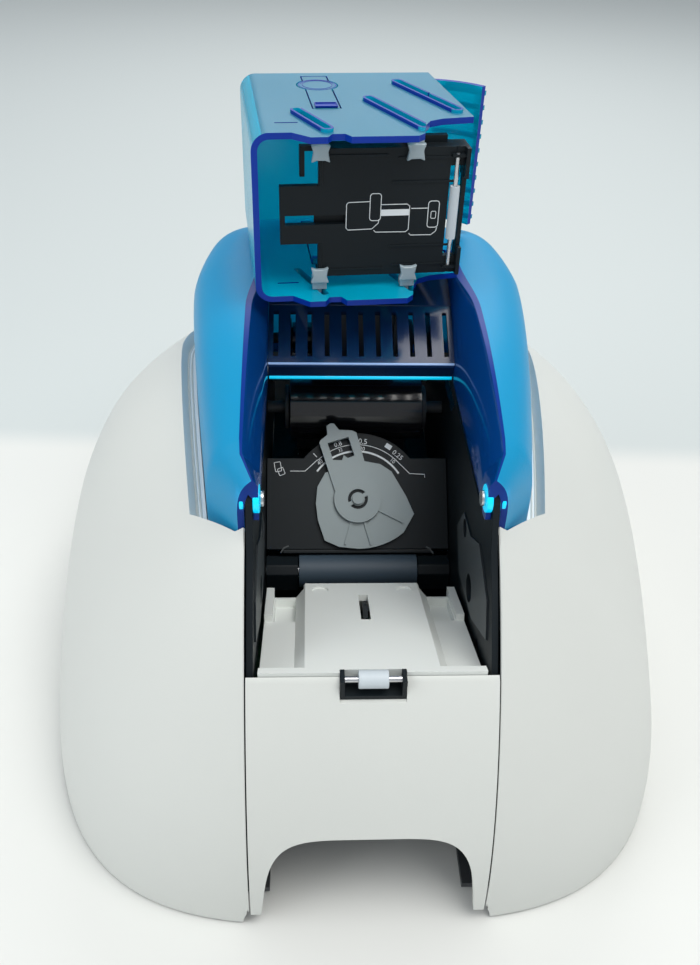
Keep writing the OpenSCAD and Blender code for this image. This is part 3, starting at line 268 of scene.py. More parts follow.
def shell_ring(y, arc_steps=56):
    """One cross-section of the right shell: channel, lip, down the outside, and back up inside."""
    width, height, power = plan_half_width(y), arch_height(y), roundness(y)
    edge, share = shell_edge(y), strip_share(y)
    rim = edge + strip_width * share
    wall = min(shell_wall, thin_wall_share * (width - edge))
    step_z = rim_height(y) - strip_drop * share
    arcs = []
    for start, w, h in ((rim, width, height), (rim + wall / 2, width - wall, height - wall)):
        high = asin(sqrt(min(1, start / w)))
        low = acos(min(1, shell_lift / h) ** (power / 2))
        turns = [high + (low - high) * i / arc_steps for i in range(arc_steps + 1)]
        arcs.append([(w * sin(a) ** 2, y, h * cos(a) ** (2 / power)) for a in turns])
    channel_width, last = channel_share * (rim - edge), len(channel_ridges) - 1
    channel = [
        (edge + channel_width * i / last, y, step_z - drop * share)
        for i, drop in enumerate(channel_ridges)
    ]
    near = edge - lid_gap * channel_start * share
    channel[0] = (near, y, step_z)
    under_width = channel_width + wall / 2
    under = [(edge + under_width * i / last, y, step_z - wall) for i in range(last, -1, -1)]
    ledge_z = step_z - ledge_drop * share
    tip = edge - ledge_width * max(0, share - thin_strip)
    top = [(tip, y, ledge_z), (near, y, ledge_z)]
    bottom = [(edge + ledge_overlap, y, ledge_z - ledge_wall), (tip, y, ledge_z - ledge_wall)]
    return top + channel + arcs[0] + arcs[1][::-1] + under + bottom


def shell_stations(nose_steps=40, corner_steps=12, side_steps=80, tail_steps=30, left_out=3):
    """Places along the body with a cross-section, closer where the outline turns faster."""
    nose = [lid_start_y * (i / nose_steps) ** 2 for i in range(left_out, nose_steps)]
    corner = [between(lid_start_y, lid_corner_y, i / corner_steps) for i in range(corner_steps + 1)]
    side = [between(lid_corner_y, lid_end_y, i / side_steps) for i in range(1, side_steps + 1)]
    bend = [rear_bend_y, rear_bend_y + 1, rear_bend_y + 2]
    tail_run = body_length - rear_turn_y
    tail = [body_length - tail_run * (i / tail_steps) ** 2 for i in range(tail_steps, left_out, -1)]
    return nose + [lid_start_y - 0.5] + corner + side + bend + tail


def skin_mesh(name, rings, mirrored=False):
    """A closed mesh through rings of one length: an outer line and its inner line backwards."""
    count, last = len(rings[0]), (len(rings) - 1) * len(rings[0])
    points = [bench(-x if mirrored else x, y, z) for ring in rings for x, y, z in ring]
    faces = []
    for i in range(len(rings) - 1):
        for j in range(count):
            k = (j + 1) % count
            faces.append((i * count + j, i * count + k, (i + 1) * count + k, (i + 1) * count + j))
    for j in range(count // 2 - 1):
        faces.append((count - 1 - j, count - 2 - j, j + 1, j))
        faces.append((last + j, last + j + 1, last + count - 2 - j, last + count - 1 - j))
    mesh = bpy.data.meshes.new(name)
    mesh.from_pydata(points, [], faces)
    return face_outwards(mesh)


def face_outwards(mesh):
    """Merges doubles and turns every face outwards."""
    work = bmesh.new()
    work.from_mesh(mesh)
    bmesh.ops.remove_doubles(work, verts=work.verts, dist=1e-6)
    bmesh.ops.recalc_face_normals(work, faces=work.faces)
    work.to_mesh(mesh)
    work.free()
    return mesh


def show(name, mesh, *materials):
    """Puts a mesh in the scene with these materials, in place of any that it had."""
    thing = bpy.data.objects.new(name, mesh)
    bpy.context.scene.collection.objects.link(thing)
    if len(mesh.materials):
        mesh.materials.clear()
    for material in materials:
        mesh.materials.append(material)
    return thing


def soften(thing, radius, angle=35, steps=2):
    """Rounds the edges by a radius in millimetres, and keeps the wide faces flat."""
    bevel = thing.modifiers.new("round", "BEVEL")
    bevel.width = radius / 1000
    bevel.segments = steps
    bevel.limit_method = "ANGLE"
    bevel.angle_limit = radians(angle)
    bevel.use_clamp_overlap = True
    plain_mesh(thing, angle)
    weigh = thing.modifiers.new("weigh", "WEIGHTED_NORMAL")
    weigh.keep_sharp = True
    weigh.weight = 80
    return solve(thing)


def solved_mesh(thing):
    """The mesh that a thing shows with its modifiers."""
    solved = thing.evaluated_get(bpy.context.evaluated_depsgraph_get())
    return bpy.data.meshes.new_from_object(solved)


def solve(thing):
    """Turns a thing with its modifiers into a plain mesh."""
    mesh = solved_mesh(thing)
    thing.modifiers.clear()
    thing.data = mesh
    return thing


def plain_mesh(thing, angle=35):
    """A plain mesh, smooth but for its real edges."""
    solve(thing)
    thing.data.shade_smooth()
    thing.data.set_sharp_from_angle(angle=radians(angle))
    return thing


def goes_with(thing, node):
    """The thing moves with a node's body."""
    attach(thing, body_of_node[node])
    return thing


def stands_for(thing, node):
    """The thing takes a node's place and body."""
    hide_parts(node)
    return goes_with(thing, node)


def vary_gloss(tree, texture, main, low, high):
    """Lets a texture carry the roughness from low to high."""
    gloss = add_node(tree, "ShaderNodeMapRange", {"To Min": low, "To Max": high})
    connect(tree, (texture, "Fac", gloss, "Value"), (gloss, "Result", main, "Roughness"))


def add_grain(tree, place, main, scale, depth, distance):
    """A fine spark-eroded grain."""
    spark = add_node(tree, "ShaderNodeTexNoise", {"Scale": scale, "Detail": 2})
    bump = add_node(tree, "ShaderNodeBump", {"Strength": depth, "Distance": distance})
    connect(
        tree, (place, "Object", spark, "Vector"), (spark, "Fac", bump, "Height"),
        (bump, "Normal", main, "Normal"),
    )


def moulded_plastic(
    name, colour, roughness=0.42, grain=1400, depth=0.06, tint=0.04, coat=0.0, shine=0.5
):
    """Moulded plastic or rubber: spark-eroded grain, faint flow marks in colour and gloss."""
    material, tree, main = shader(name)
    settle(main, {
        "Specular IOR Level": shine, "Roughness": roughness, "IOR": 1.49,
        "Coat Weight": coat, "Coat Roughness": 0.2,
    })
    place = add_node(tree, "ShaderNodeTexCoord")
    flow = add_node(tree, "ShaderNodeTexNoise", {"Scale": 9, "Detail": 3})
    shade = add_node(tree, "ShaderNodeMixRGB", {
        "Color1": (*[c * (1 - tint) for c in colour], 1),
        "Color2": (*[min(1, c * (1 + tint)) for c in colour], 1),
    })
    connect(
        tree, (place, "Object", flow, "Vector"), (flow, "Fac", shade, "Fac"),
        (shade, "Color", main, "Base Color"),
    )
    vary_gloss(tree, flow, main, roughness - 0.06, roughness + 0.06)
    add_grain(tree, place, main, grain, depth, 0.0004)
    return material


white_plastic = moulded_plastic("white_plastic", (0.68, 0.70, 0.67))
# The paler white of the strip's floor is painted light, lifting the shade of the deep channel
strip_painted_light = moulded_plastic("strip_painted_light", (0.86, 0.93, 0.98), 0.5)
shell_rings = [shell_ring(y) for y in shell_stations()]
for node, mirrored in (("right_shell", False), ("left_shell", True)):
    skin = skin_mesh(node, shell_rings, mirrored)
    shell = show(node + "_skin", skin, white_plastic, strip_painted_light)
    # Level faces on the strip's floor take the paler white, painted light
    for face in shell.data.polygons:
        centre = face.center * 1000
        x, y = abs(centre.x), centre.y + body_length / 2
        if not lid_corner_y < y < lid_end_y or face.normal.z <= paint_level:
            continue
        edge = shell_edge(y)
        if edge < x < edge + paint_reach and centre.z < rim_height(y) - paint_drop:
            face.material_index = 1
    plain_mesh(shell)
    stands_for(shell, node)


# ---- Front and rear panels
# Two white moulded panels close the ends between the shells. The front one has a finger scoop and
# the arch for the cable, the rear one the slot where cards come out. Both clip to the base.


def clean_copy(node):
    """A copy of a node's mesh with its doubles merged and its flat faces whole."""
    mesh = frame["nodes"][node].data.copy()
    work = bmesh.new()
    work.from_mesh(mesh)
    bmesh.ops.remove_doubles(work, verts=work.verts, dist=2e-6)
    bmesh.ops.dissolve_limit(work, angle_limit=radians(1), verts=work.verts, edges=work.edges)
    work.to_mesh(mesh)
    work.free()
    return mesh


def soften_nodes(material, *nodes, radius=0.35):
    """Shows nodes with clean faces and their edges rounded, and gives back the last one."""
    for node in nodes:
        thing = show(node + "_moulding", clean_copy(node), material)
        stands_for(soften(thing, radius, 30), node)
    return thing


soften_nodes(white_plastic, "front_panel", "rear_panel")


# ---- Base, feet and screws
# A flat base plate of dark moulded plastic carries everything. Four rubber feet stand under it,
# each held by a steel screw.


def metal(name, colour, roughness, streak):
    """Turned or ground metal with fine streaks round or along it."""
    material, tree, main = shader(name)
    settle(main, {"Metallic": 1, "Base Color": (*colour, 1)})
    place = add_node(tree, "ShaderNodeTexCoord")
    stretch = add_node(tree, "ShaderNodeMapping", {"Scale": streak})
    lines = add_node(tree, "ShaderNodeTexNoise", {"Scale": 60, "Detail": 4})
    connect(tree, (place, "Object", stretch, "Vector"), (stretch, "Vector", lines, "Vector"))
    vary_gloss(tree, lines, main, roughness - 0.08, roughness + 0.1)
    return material


base_plastic = moulded_plastic("base_plastic", (0.045, 0.05, 0.055), 0.5)
black_rubber = moulded_plastic("black_rubber", (0.012, 0.012, 0.013), 0.6, 2600, 0.12)
steel = metal("turned_steel", (0.62, 0.63, 0.65), 0.28, (1, 14, 14))
soften_nodes(base_plastic, "base_plate")
soften_nodes(black_rubber, "feet")
soften_nodes(steel, "chassis_screws")


# ---- Side frames and rods
# Two flat frames of black moulded plastic carry every shaft, tied by turned steel rods. An angular
# panel stands proud of each beside the feeder, with a greyer finish.

panel_face_x, panel_slack = 43.0, 0.1
frame_round = 0.25
black_plastic = moulded_plastic("black_plastic", (0.007, 0.011, 0.014), 0.45, shine=0.22)
panel_grey = moulded_plastic("panel_grey", (0.055, 0.065, 0.07), 0.45)
for node in ("left_frame", "right_frame"):
    side_frame = soften_nodes(black_plastic, node, radius=frame_round)
    side_frame.data.materials.append(panel_grey)
    for face in side_frame.data.polygons:
        if abs(face.center.x) < (panel_face_x + panel_slack) / 1000:
            face.material_index = 1
soften_nodes(steel, "cross_rods")


# ---- Motor, pulleys and belt
# A steel-cased motor turns the feed and platen shafts through a toothed rubber belt. The pulleys
# are moulded in uncoloured plastic and pressed on their shafts.

fine_round = 0.15
natural_plastic = moulded_plastic("natural_plastic", (0.78, 0.78, 0.72), 0.35)
soften_nodes(steel, "drive_motor")
soften_nodes(natural_plastic, "motor_pulley", radius=fine_round)
soften_nodes(natural_plastic, "feed_pulley", "platen_pulley")
soften_nodes(black_rubber, "drive_belt")


# ---- Rollers and shafts
# Turned steel shafts with rubber sleeves: blue-black to feed, white to clean, black to press and
# to put out the cards. Two black bearing blocks hold the feed shaft in front of the frames.

white_rubber = moulded_plastic("white_rubber", (0.56, 0.62, 0.66), 0.5, 2600, 0.1)
feed_rubber = moulded_plastic("feed_rubber", (0.05, 0.078, 0.108), 0.55, 2600, 0.12)
soften_nodes(steel, "feed_shaft", "cleaning_shaft", "platen_shaft", "exit_shaft")
soften_nodes(feed_rubber, "feed_roller")
soften_nodes(white_rubber, "cleaning_roller")
soften_nodes(black_rubber, "platen_roller", "exit_roller")


def stand(x, y, z):
    """The frame that takes millimetres from a place on the bench to metres."""
    return Matrix.Translation(bench(x, y, z)) @ Matrix.Scale(0.001, 4)


def prism(name, outline, low, high):
    """A solid between two heights over a flat outline."""
    count = len(outline)
    points = [(x, y, z) for z in (low, high) for x, y in outline]
    faces = [tuple(range(count)), tuple(range(count, 2 * count))]
    faces += [(i, (i + 1) % count, count + (i + 1) % count, count + i) for i in range(count)]
    mesh = bpy.data.meshes.new(name)
    mesh.from_pydata(points, [], faces)
    return mesh


def join_meshes(name, meshes, to_bench):
    """One mesh out of several, moved to its place."""
    work = bmesh.new()
    for mesh in meshes:
        mesh.transform(to_bench)
        work.from_mesh(mesh)
    bmesh.ops.recalc_face_normals(work, faces=work.faces)
    joined = bpy.data.meshes.new(name)
    work.to_mesh(joined)
    work.free()
    return joined


def show_joined(name, meshes, to_bench, material):
    """Puts several small meshes in the scene as one thing."""
    return show(name, join_meshes(name, meshes, to_bench), material)


feed_y, feed_z = 138, 62.82
block_half, block_corner, block_round = 6.6, 3.4, 0.4
block_inner_x, block_outer_x = 28.4, 43.5
block_outline = [
    (-block_half, -block_half), (block_half, -block_half), (block_half, block_corner),
    (block_corner, block_half), (-block_corner, block_half), (-block_half, block_corner),
]
# Takes an outline to the plane across the printer, and its height along X
across = Matrix(((0, 0, 1, 0), (1, 0, 0, 0), (0, 1, 0, 0), (0, 0, 0, 1)))
blocks = [
    prism("bearing_block", block_outline, -block_outer_x, -block_inner_x),
    prism("bearing_block", block_outline, block_inner_x, block_outer_x),
]
bearings = show_joined("feed_bearings", blocks, stand(0, feed_y, feed_z) @ across, black_plastic)
goes_with(soften(bearings, block_round), "gauge_plate")


# ---- Card guide, print head and ribbon
# A black moulded guide carries the card under the head, a ground metal bar in a plastic bracket
# under the lid. Two moulded cores hold the ribbon, a glossy black film.

head_metal = metal("head_metal", (0.45, 0.46, 0.48), 0.42, (1, 10, 10))
film = moulded_plastic("ribbon_film", (0.008, 0.008, 0.01), 0.12, 200, 0.05, coat=0.6)
soften_nodes(black_plastic, "card_guide")
soften_nodes(head_metal, "print_head")
soften_nodes(base_plastic, "head_bracket", "supply_core", "takeup_core")
soften_nodes(film, "supply_film", "takeup_film")


# ---- Circuit board, sockets, button and lights
# A green board on the base carries the power inlet and the data port. The button is moulded in
# uncoloured plastic, and two green light pipes show beside it in the rear panel.

board_green = moulded_plastic("board_green", (0.01, 0.09, 0.035), 0.3, 300, 0.02)
light_green = moulded_plastic("light_green", (0.12, 0.55, 0.16), 0.2)
soften_nodes(board_green, "main_board")
soften_nodes(black_plastic, "power_inlet")
soften_nodes(steel, "data_port")
soften_nodes(natural_plastic, "control_button")
soften_nodes(light_green, "status_lights")


# ---- Feeder tray
# A white moulded tray with a raised track for the cards and a black sensor flag in its slot. In
# front, a black cup is clipped in with a small white rubber roller on a steel shaft.

tray_white = moulded_plastic("tray_white", (0.78, 0.81, 0.78), 0.42)
soften_nodes(tray_white, "feeder_tray")
soften_nodes(black_plastic, "card_flag", radius=fine_round)
soften_nodes(black_plastic, "roller_cup")
soften_nodes(steel, "idle_shaft")
soften_nodes(white_rubber, "idle_roller")


# ---- Thickness gauge
# A black moulded plate with a printed dial behind a grey lever, which turns on a pin. Two scale
# arcs with tails, thickness numbers and a small picture of cards are white ink.

grey_plastic = moulded_plastic("grey_plastic", (0.30, 0.355, 0.365), 0.4)
soften_nodes(black_plastic, "gauge_plate")
soften_nodes(grey_plastic, "gauge_pin", "thickness_lever", radius=fine_round)

hub_y, hub_z, gauge_tilt = 158.99, 89.19, radians(43)
gauge_to_bench = stand(0, hub_y, hub_z) @ Matrix.Rotation(gauge_tilt, 4, "X")
ink_low, ink_high = 0.02, 0.1
fine_ink, card_ink, broad_ink = 0.32, 0.28, 0.9
dial_white = moulded_plastic("dial_white", (0.8, 0.84, 0.86), 0.5)


def stroke(name, points, width, low=ink_low, high=ink_high, closed=False):
    """A line of even width along flat points."""
    count = len(points)
    left, right = [], []
    for i, (x, y) in enumerate(points):
        before = points[i - 1] if closed or i else points[0]
        after = points[(i + 1) % count] if closed or i < count - 1 else points[-1]
        step = (Vector(after) - Vector(before)).normalized() * width / 2
        left.append((x - step.y, y + step.x))
        right.append((x + step.y, y - step.x))
    points_3d = [(x, y, z) for z in (low, high) for side in (left, right) for x, y in side]
    faces, up = [], 2 * count
    for i in range(count if closed else count - 1):
        j = (i + 1) % count
        a, b, c, d = i, j, count + j, count + i
        faces += [
            (a, b, c, d), (up + a, up + d, up + c, up + b),
            (a, up + a, up + b, b), (d, c, up + c, up + d),
        ]
    if not closed:
        faces += [(i, count + i, up + count + i, up + i) for i in (0, count - 1)]
    mesh = bpy.data.meshes.new(name)
    mesh.from_pydata(points_3d, [], faces)
    return mesh


def arc(radius, first, last, steps=40, centre=(0, 0)):
    """Points round a centre between two angles in degrees."""
    turns = [radians(first + (last - first) * i / steps) for i in range(steps + 1)]
    return [(centre[0] + radius * cos(a), centre[1] + radius * sin(a)) for a in turns]


def card_line(x0, y0, x1, y1, radius=1.0, turn=0, centre=(0, 0)):
    """The outline of a card with round corners."""
    corners = (
        (x1 - radius, y1 - radius, 0), (x0 + radius, y1 - radius, 90),
        (x0 + radius, y0 + radius, 180), (x1 - radius, y0 + radius, 270),
    )
    points = [p for cx, cy, a in corners for p in arc(radius, a, a + 90, 5, (cx, cy))]
    c, s = cos(radians(turn)), sin(radians(turn))
    return [(centre[0] + x * c - y * s, centre[1] + x * s + y * c) for x, y in points]


def box_line(x0, y0, x1, y1):
    """The outline of a rectangle."""
    return [(x0, y0), (x1, y0), (x1, y1), (x0, y1)]


def number(text, size, x, y, turn):
    """A printed number, centred at a place and turned."""
    curve = bpy.data.curves.new("number_" + text, "FONT")
    curve.body = text
    curve.size = size
    curve.align_x = curve.align_y = "CENTER"
    curve.resolution_u = 3
    curve.extrude = (ink_high - ink_low) / 2
    thing = bpy.data.objects.new("number_" + text, curve)
    bpy.context.scene.collection.objects.link(thing)
    mesh = solved_mesh(thing)
    bpy.data.objects.remove(thing)
    turned = Matrix.Rotation(radians(turn), 4, "Z")
    mesh.transform(Matrix.Translation((x, y, (ink_low + ink_high) / 2)) @ turned)
    return mesh


# The dial is drawn in millimetres from the lever's hub
lower_radius, upper_radius = 23.9, 27.2
upper_head = [(-32.3, 14.2), (-25.1, 14.2), (-19.4, 19.5)]
upper_tail = [(20.2, 18.2), (25.4, 13.0), (32.7, 12.6), (32.7, 11.1)]
dial_parts = [
    stroke("lower_arc", arc(lower_radius, 33, 144), broad_ink),
    stroke("upper_arc", upper_head + arc(upper_radius, 133.5, 42), fine_ink),
    stroke("upper_tail", upper_tail, fine_ink),
]
for text, size, x, y, turn in (
    ("1", 3.6, -20.2, 21.9, 43), ("0.8", 3.2, -9.2, 27.4, 18), ("0.5", 3.7, 2.9, 28.7, -6),
    ("0.25", 3.4, 19.7, 22.0, -40), ("40", 2.8, -17.9, 18.5, 43), ("32", 2.2, -8.0, 24.4, 18),
    ("20", 2.6, 2.6, 25.2, -6), ("10", 2.6, 17.2, 19.2, -40),
):
    dial_parts.append(number(text, size, x, y, turn))
rear_card = card_line(-1.5, -2.3, 1.5, 2.3, 0.4, 10, (-38.2, 16.3))
front_card = card_line(-1.4, -1.7, 1.4, 1.7, 0.4, 22, (-36.6, 14.0))
card_bar = card_line(-1.6, -1.2, 1.6, 1.2, 0.2, -33, (15.3, 26.3))
dial_parts += [
    stroke("rear_card", rear_card, card_ink, closed=True),
    stroke("front_card", front_card, card_ink, closed=True),
    prism("card_bar", card_bar, ink_low, ink_high),
]
dial = show_joined("dial_print", dial_parts, gauge_to_bench, dial_white)
goes_with(plain_mesh(dial), "gauge_plate")

# Lip along the plate's lower edge, moulded with it, and the two bent prongs of the gate
lip_half, lip_low, lip_high, lip_back, lip_front, lip_round = 35.5, -25.4, -23.7, -2.9, 0.3, 0.3
lip_line = box_line(-lip_half, lip_low, lip_half, lip_high)
lip_parts = [prism("lip", lip_line, lip_back, lip_front)]
lip = show_joined("gauge_lip", lip_parts, gauge_to_bench, black_plastic)
goes_with(soften(lip, lip_round), "gauge_plate")
prong_width, prong_low, prong_high, prong_round = 0.8, 0.02, 0.35, 0.15
prong_parts = [
    stroke("prong", line, prong_width, prong_low, prong_high)
    for line in (
        [(-36.7, -25.2), (-35.2, -22.9), (-32.9, -21.9)],
        [(36.1, -26.0), (34.6, -23.6), (32.6, -22.6)],
    )
]
prongs = show_joined("gate_prongs", prong_parts, gauge_to_bench, panel_grey)
goes_with(soften(prongs, prong_round), "gauge_plate")

# Dark mark round the lever's hub: two half rings in its groove
mark_low, mark_high, mark_inner, mark_outer = 3.3, 3.5, 3.3, 4.7
mark_starts, mark_sweep = (47, 227), 150
mark_parts = []
for first in mark_starts:
    last = first + mark_sweep
    outline = arc(mark_outer, first, last, 24) + arc(mark_inner, first, last, 24)[::-1]
    mark_parts.append(prism("half_ring", outline, mark_low, mark_high))
mark = show_joined("hub_mark", mark_parts, gauge_to_bench, black_plastic)
goes_with(plain_mesh(mark), "thickness_lever")


# ---- Lid
# A lid of clear blue moulded plastic, matt outside and polished inside, on two steel hinge pins.
# Two hollow arms with an inner flange run beside the channel and carry the dome. Its cut edges
# and flange take darker copies of the plastic, painted shade, and the hinge bosses a painted glow.

lid_top, lid_fall_y, lid_overlap = 187, 246, 4
lid_front_drop, lid_rear_drop = 16, 34
lid_front_power, lid_rear_power = 2.2, 2.4
front_box, rear_box = 4.5, 6.5
vent_y, vent_z, vent_tilt, vent_length = 168, 159, radians(30), 31
arm_end_y = 228
flange_out_x, flange_in_x = 43.5, 41.5
hinge_y, hinge_z, eye_radius = 79, 155, 8
# Height of the flange's foot at the front, and how far it lies under the panel and the crest
flange_foot_z, under_vent_front, under_vent_rear, under_crest = 148.5, 9, 3, 7
side_steps, top_steps = 26, 30
chamfer_width, chamfer_depth, chamfer_wall = 6, 9, 0.9
chamfer_end_y, chamfer_fade = 215, 45


def tinted_plastic(
    name, colour, roughness, clear, sheen=0.0, coat=0.0, shine=0.5, painted_glow=0.0, frost=0.0
):
    """Clear tinted plastic, with a pale bloom or a fine frost where the outside is matt, and a
    painted glow.
    """
    material, tree, main = shader(name)
    settle(main, {
        "Base Color": (*colour, 1), "Transmission Weight": clear, "IOR": 1.49,
        "Specular IOR Level": shine, "Emission Color": (*colour, 1), "Emission Strength": painted_glow,
        "Sheen Weight": sheen, "Sheen Roughness": 0.35, "Sheen Tint": (0.8, 0.9, 1, 1),
        "Coat Weight": coat, "Coat Roughness": 0.08,
    })
    place = add_node(tree, "ShaderNodeTexCoord")
    cloud = add_node(tree, "ShaderNodeTexNoise", {"Scale": 16, "Detail": 3})
    connect(tree, (place, "Object", cloud, "Vector"))
    vary_gloss(tree, cloud, main, max(0.02, roughness - 0.05), roughness + 0.06)
    if frost:
        add_grain(tree, place, main, 1100, frost, 0.0005)
    return material


skin_blue = tinted_plastic(
    "skin_blue", (0.0, 0.45, 0.82), 0.42, 0.4, sheen=0.1, shine=0.18, frost=0.16
)
# The flange is polished, and its darker tint of the same plastic is painted shade
flange_clear_painted_shade = tinted_plastic("flange_clear_painted_shade", (0.004, 0.10, 0.40), 0.1, 0.6, shine=0.4)
# The cut edges take a darker copy of the lid's plastic, painted shade
edge_painted_shade = tinted_plastic("edge_painted_shade", (0.001, 0.035, 0.27), 0.3, 0.1, shine=0.15)
# A cyan that glows though it is no lamp: a painted highlight
painted_glow_cyan = tinted_plastic("painted_glow_cyan", (0.0, 0.62, 0.95), 0.15, 0.0, painted_glow=0.5)


def lid_crest(y):
    """Height of the lid along its middle."""
    if y < vent_y:
        share = (vent_y - y) / (vent_y - lid_start_y)
        return lid_top - lid_front_drop * share**lid_front_power
    if y < lid_fall_y:
        return lid_top
    share = (y - lid_fall_y) / (lid_end_y - lid_fall_y)
    return lid_top - lid_rear_drop * share**lid_rear_power


def lid_base(y):
    """Height of the lid's lower edge, which lies in the shell's strip."""
    return rim_height(y) - (strip_drop + lid_overlap) * strip_share(y)


def lid_box(y):
    """Power of the lid's cross-section: the higher it is, the squarer the shoulder."""
    share = (y - lid_corner_y) / (lid_widest_y - lid_corner_y)
    return between(front_box, rear_box, ease(share))


def lid_point(y, half, base, crest, angle):
    """A point of the lid's boxy cross-section, at an angle from its right lower edge."""
    power = 2 / lid_box(y)
    side = 1 if cos(angle) > 0 else -1
    x = side * half * abs(cos(angle)) ** power
    return (x, y, base + (crest - base) * sin(angle) ** power)


def angle_at(y, half, x):
    """The angle at which the cross-section comes in to x."""
    return acos((x / half) ** (lid_box(y) / 2))


def flange_foot(y):
    """Lower edge of the flange: a line under the panel, with the round eye of the hinge."""
    vent_end_y = vent_y + vent_length * cos(vent_tilt)
    vent_end_z = vent_z + vent_length * sin(vent_tilt)
    line = [
        (lid_start_y, flange_foot_z), (vent_y, vent_z - under_vent_front),
        (vent_end_y, vent_end_z - under_vent_rear), (arm_end_y, lid_crest(arm_end_y) - under_crest),
    ]
    for (y0, z0), (y1, z1) in zip(line, line[1:]):
        if y <= y1:
            foot = z0 + (z1 - z0) * (y - y0) / (y1 - y0)
            break
    reach = eye_radius**2 - (y - hinge_y) ** 2
    return min(foot, hinge_z - sqrt(reach)) if reach > 0 else foot


def chamfer_share(y):
    """How much of the chamfer along the arm's inner edge is left: it fades under the panel."""
    room = (lid_half_width(y) - lid_wall - flange_out_x) / 2 / chamfer_width
    return min(room, 1 - ease((y - chamfer_end_y + chamfer_fade) / chamfer_fade))


def side_lines(y, wall_y=None):
    """Outer and inner points of one side, from the lower edge up to the flange."""
    half, base, crest = lid_half_width(y), lid_base(y), lid_crest(y)
    inset = chamfer_width * chamfer_share(y)
    cut = angle_at(y, half, flange_in_x + inset)
    turns = [cut * (i / side_steps) for i in range(side_steps)] + [cut]
    outer = [lid_point(y, half, base, crest, a) for a in turns]
    cut = angle_at(y, half - lid_wall, flange_out_x + inset * chamfer_wall)
    turns = [cut * i / side_steps for i in range(side_steps + 1)]
    inner = [lid_point(y, half - lid_wall, base, crest - lid_wall, a) for a in turns]
    return outer, [(x, wall_y or y, z) for x, _, z in inner]


def dome_lines(y, wall_y=None):
    """Outer and inner points right across the dome."""
    lines = []
    outer, inner = side_lines(y, wall_y)
    for line, wall, x in ((outer, 0, flange_in_x), (inner, lid_wall, flange_out_x)):
        half, crest = lid_half_width(y) - wall, lid_crest(y) - wall
        start = angle_at(y, half, x)
        turns = [start + (pi - 2 * start) * i / top_steps for i in range(1, top_steps)]
        across_top = [lid_point(y, half, lid_base(y), crest, a) for a in turns]
        top = [(x_, line[0][1], z) for x_, _, z in across_top]
        lines.append(line + top + [(-x_, y_, z) for x_, y_, z in line[::-1]])
    return lines


def lid_mesh(corner_steps=14, arm_steps=40, dome_steps=30, dome_spread=0.8):
    """The lid as one closed mesh, whose faces name their material: skin, cut edge or flange, the
    last two with painted shade.
    """
    # Slots: the skin, the cut edges in painted shade, and the polished flange in painted shade
    skin, edge, flange = range(3)
    work = bmesh.new()

    def vertices(points, way=1):
        return [work.verts.new(bench(way * x, y, z)) for x, y, z in points]

    def face(corners, finish=skin):
        work.faces.new(corners).material_index = finish

    def strip(first, second, finish=skin):
        for corners in zip(first, first[1:], second[1:], second):
            face(corners, finish)

    arm_ys = [between(lid_start_y, lid_corner_y, i / corner_steps) for i in range(corner_steps + 1)]
    arm_ys += [between(lid_corner_y, arm_end_y, i / arm_steps) for i in range(1, arm_steps + 1)]
    dome_ys = [
        between(arm_end_y, lid_end_y, (i / dome_steps) ** dome_spread)
        for i in range(dome_steps + 1)
    ]
    dome_rows = []
    for y in dome_ys:
        outer, inner = dome_lines(y, lid_end_y - lid_wall if y == dome_ys[-1] else None)
        dome_rows.append((vertices(outer), vertices(inner)))
    for (o1, i1), (o2, i2) in zip(dome_rows, dome_rows[1:]):
        strip(o1, o2)
        strip(i1, i2)
        for k in (0, -1):
            face((o1[k], o2[k], i2[k], i1[k]), edge)
    outer, inner = dome_rows[0]
    strip(outer[side_steps:-side_steps], inner[side_steps:-side_steps], edge)
    outer, inner = dome_rows[-1]
    face(outer)
    face(inner)
    face((outer[0], outer[-1], inner[-1], inner[0]), edge)

    for side in (1, -1):
        rows = []
        near = slice(side_steps + 1) if side > 0 else slice(None, -side_steps - 2, -1)
        for y in arm_ys:
            if y == arm_ys[-1]:
                outer, inner = [line[near] for line in dome_rows[0]]
            else:
                outer, inner = [vertices(line, side) for line in side_lines(y)]
            foot, drop = flange_foot(y), chamfer_depth * chamfer_share(y)
            outer_z, inner_z = outer[-1].co.z * 1000, inner[-1].co.z * 1000
            hook = vertices([
                (flange_in_x, y, outer_z - drop), (flange_in_x, y, foot),
                (flange_out_x, y, foot), (flange_out_x, y, inner_z - drop * chamfer_wall),
            ], side)
            rows.append((outer, inner, hook))
        for (o1, i1, h1), (o2, i2, h2) in zip(rows, rows[1:]):
            strip(o1[:-1], o2[:-1])
            face((o1[-2], o1[-1], o2[-1], o2[-2]), edge)
            strip(i1, i2)
            face((o1[0], i1[0], i2[0], o2[0]), edge)
            for k, finish in ((0, flange), (1, edge), (2, skin)):
                face((h1[k], h1[k + 1], h2[k + 1], h2[k]), finish)
            face((o1[-1], h1[0], h2[0], o2[-1]), flange)
            face((h1[3], i1[-1], i2[-1], h2[3]))
        outer, inner, hook = rows[0]
        strip(outer, inner, edge)
        face((outer[-1], inner[-1], hook[3], hook[0]), edge)
        face((hook[0], hook[3], hook[2], hook[1]), edge)
        outer, inner, hook = rows[-1]
        face((outer[-1], *hook, inner[-1]), edge)
    mesh = bpy.data.meshes.new("lid_skin")
    work.to_mesh(mesh)
    work.free()
    return face_outwards(mesh)


lid_sharp = 50
lid = show("lid_skin", lid_mesh(), skin_blue, edge_painted_shade, flange_clear_painted_shade)
stands_for(plain_mesh(lid, lid_sharp), "printer_lid")
soften_nodes(steel, "lid_pins")

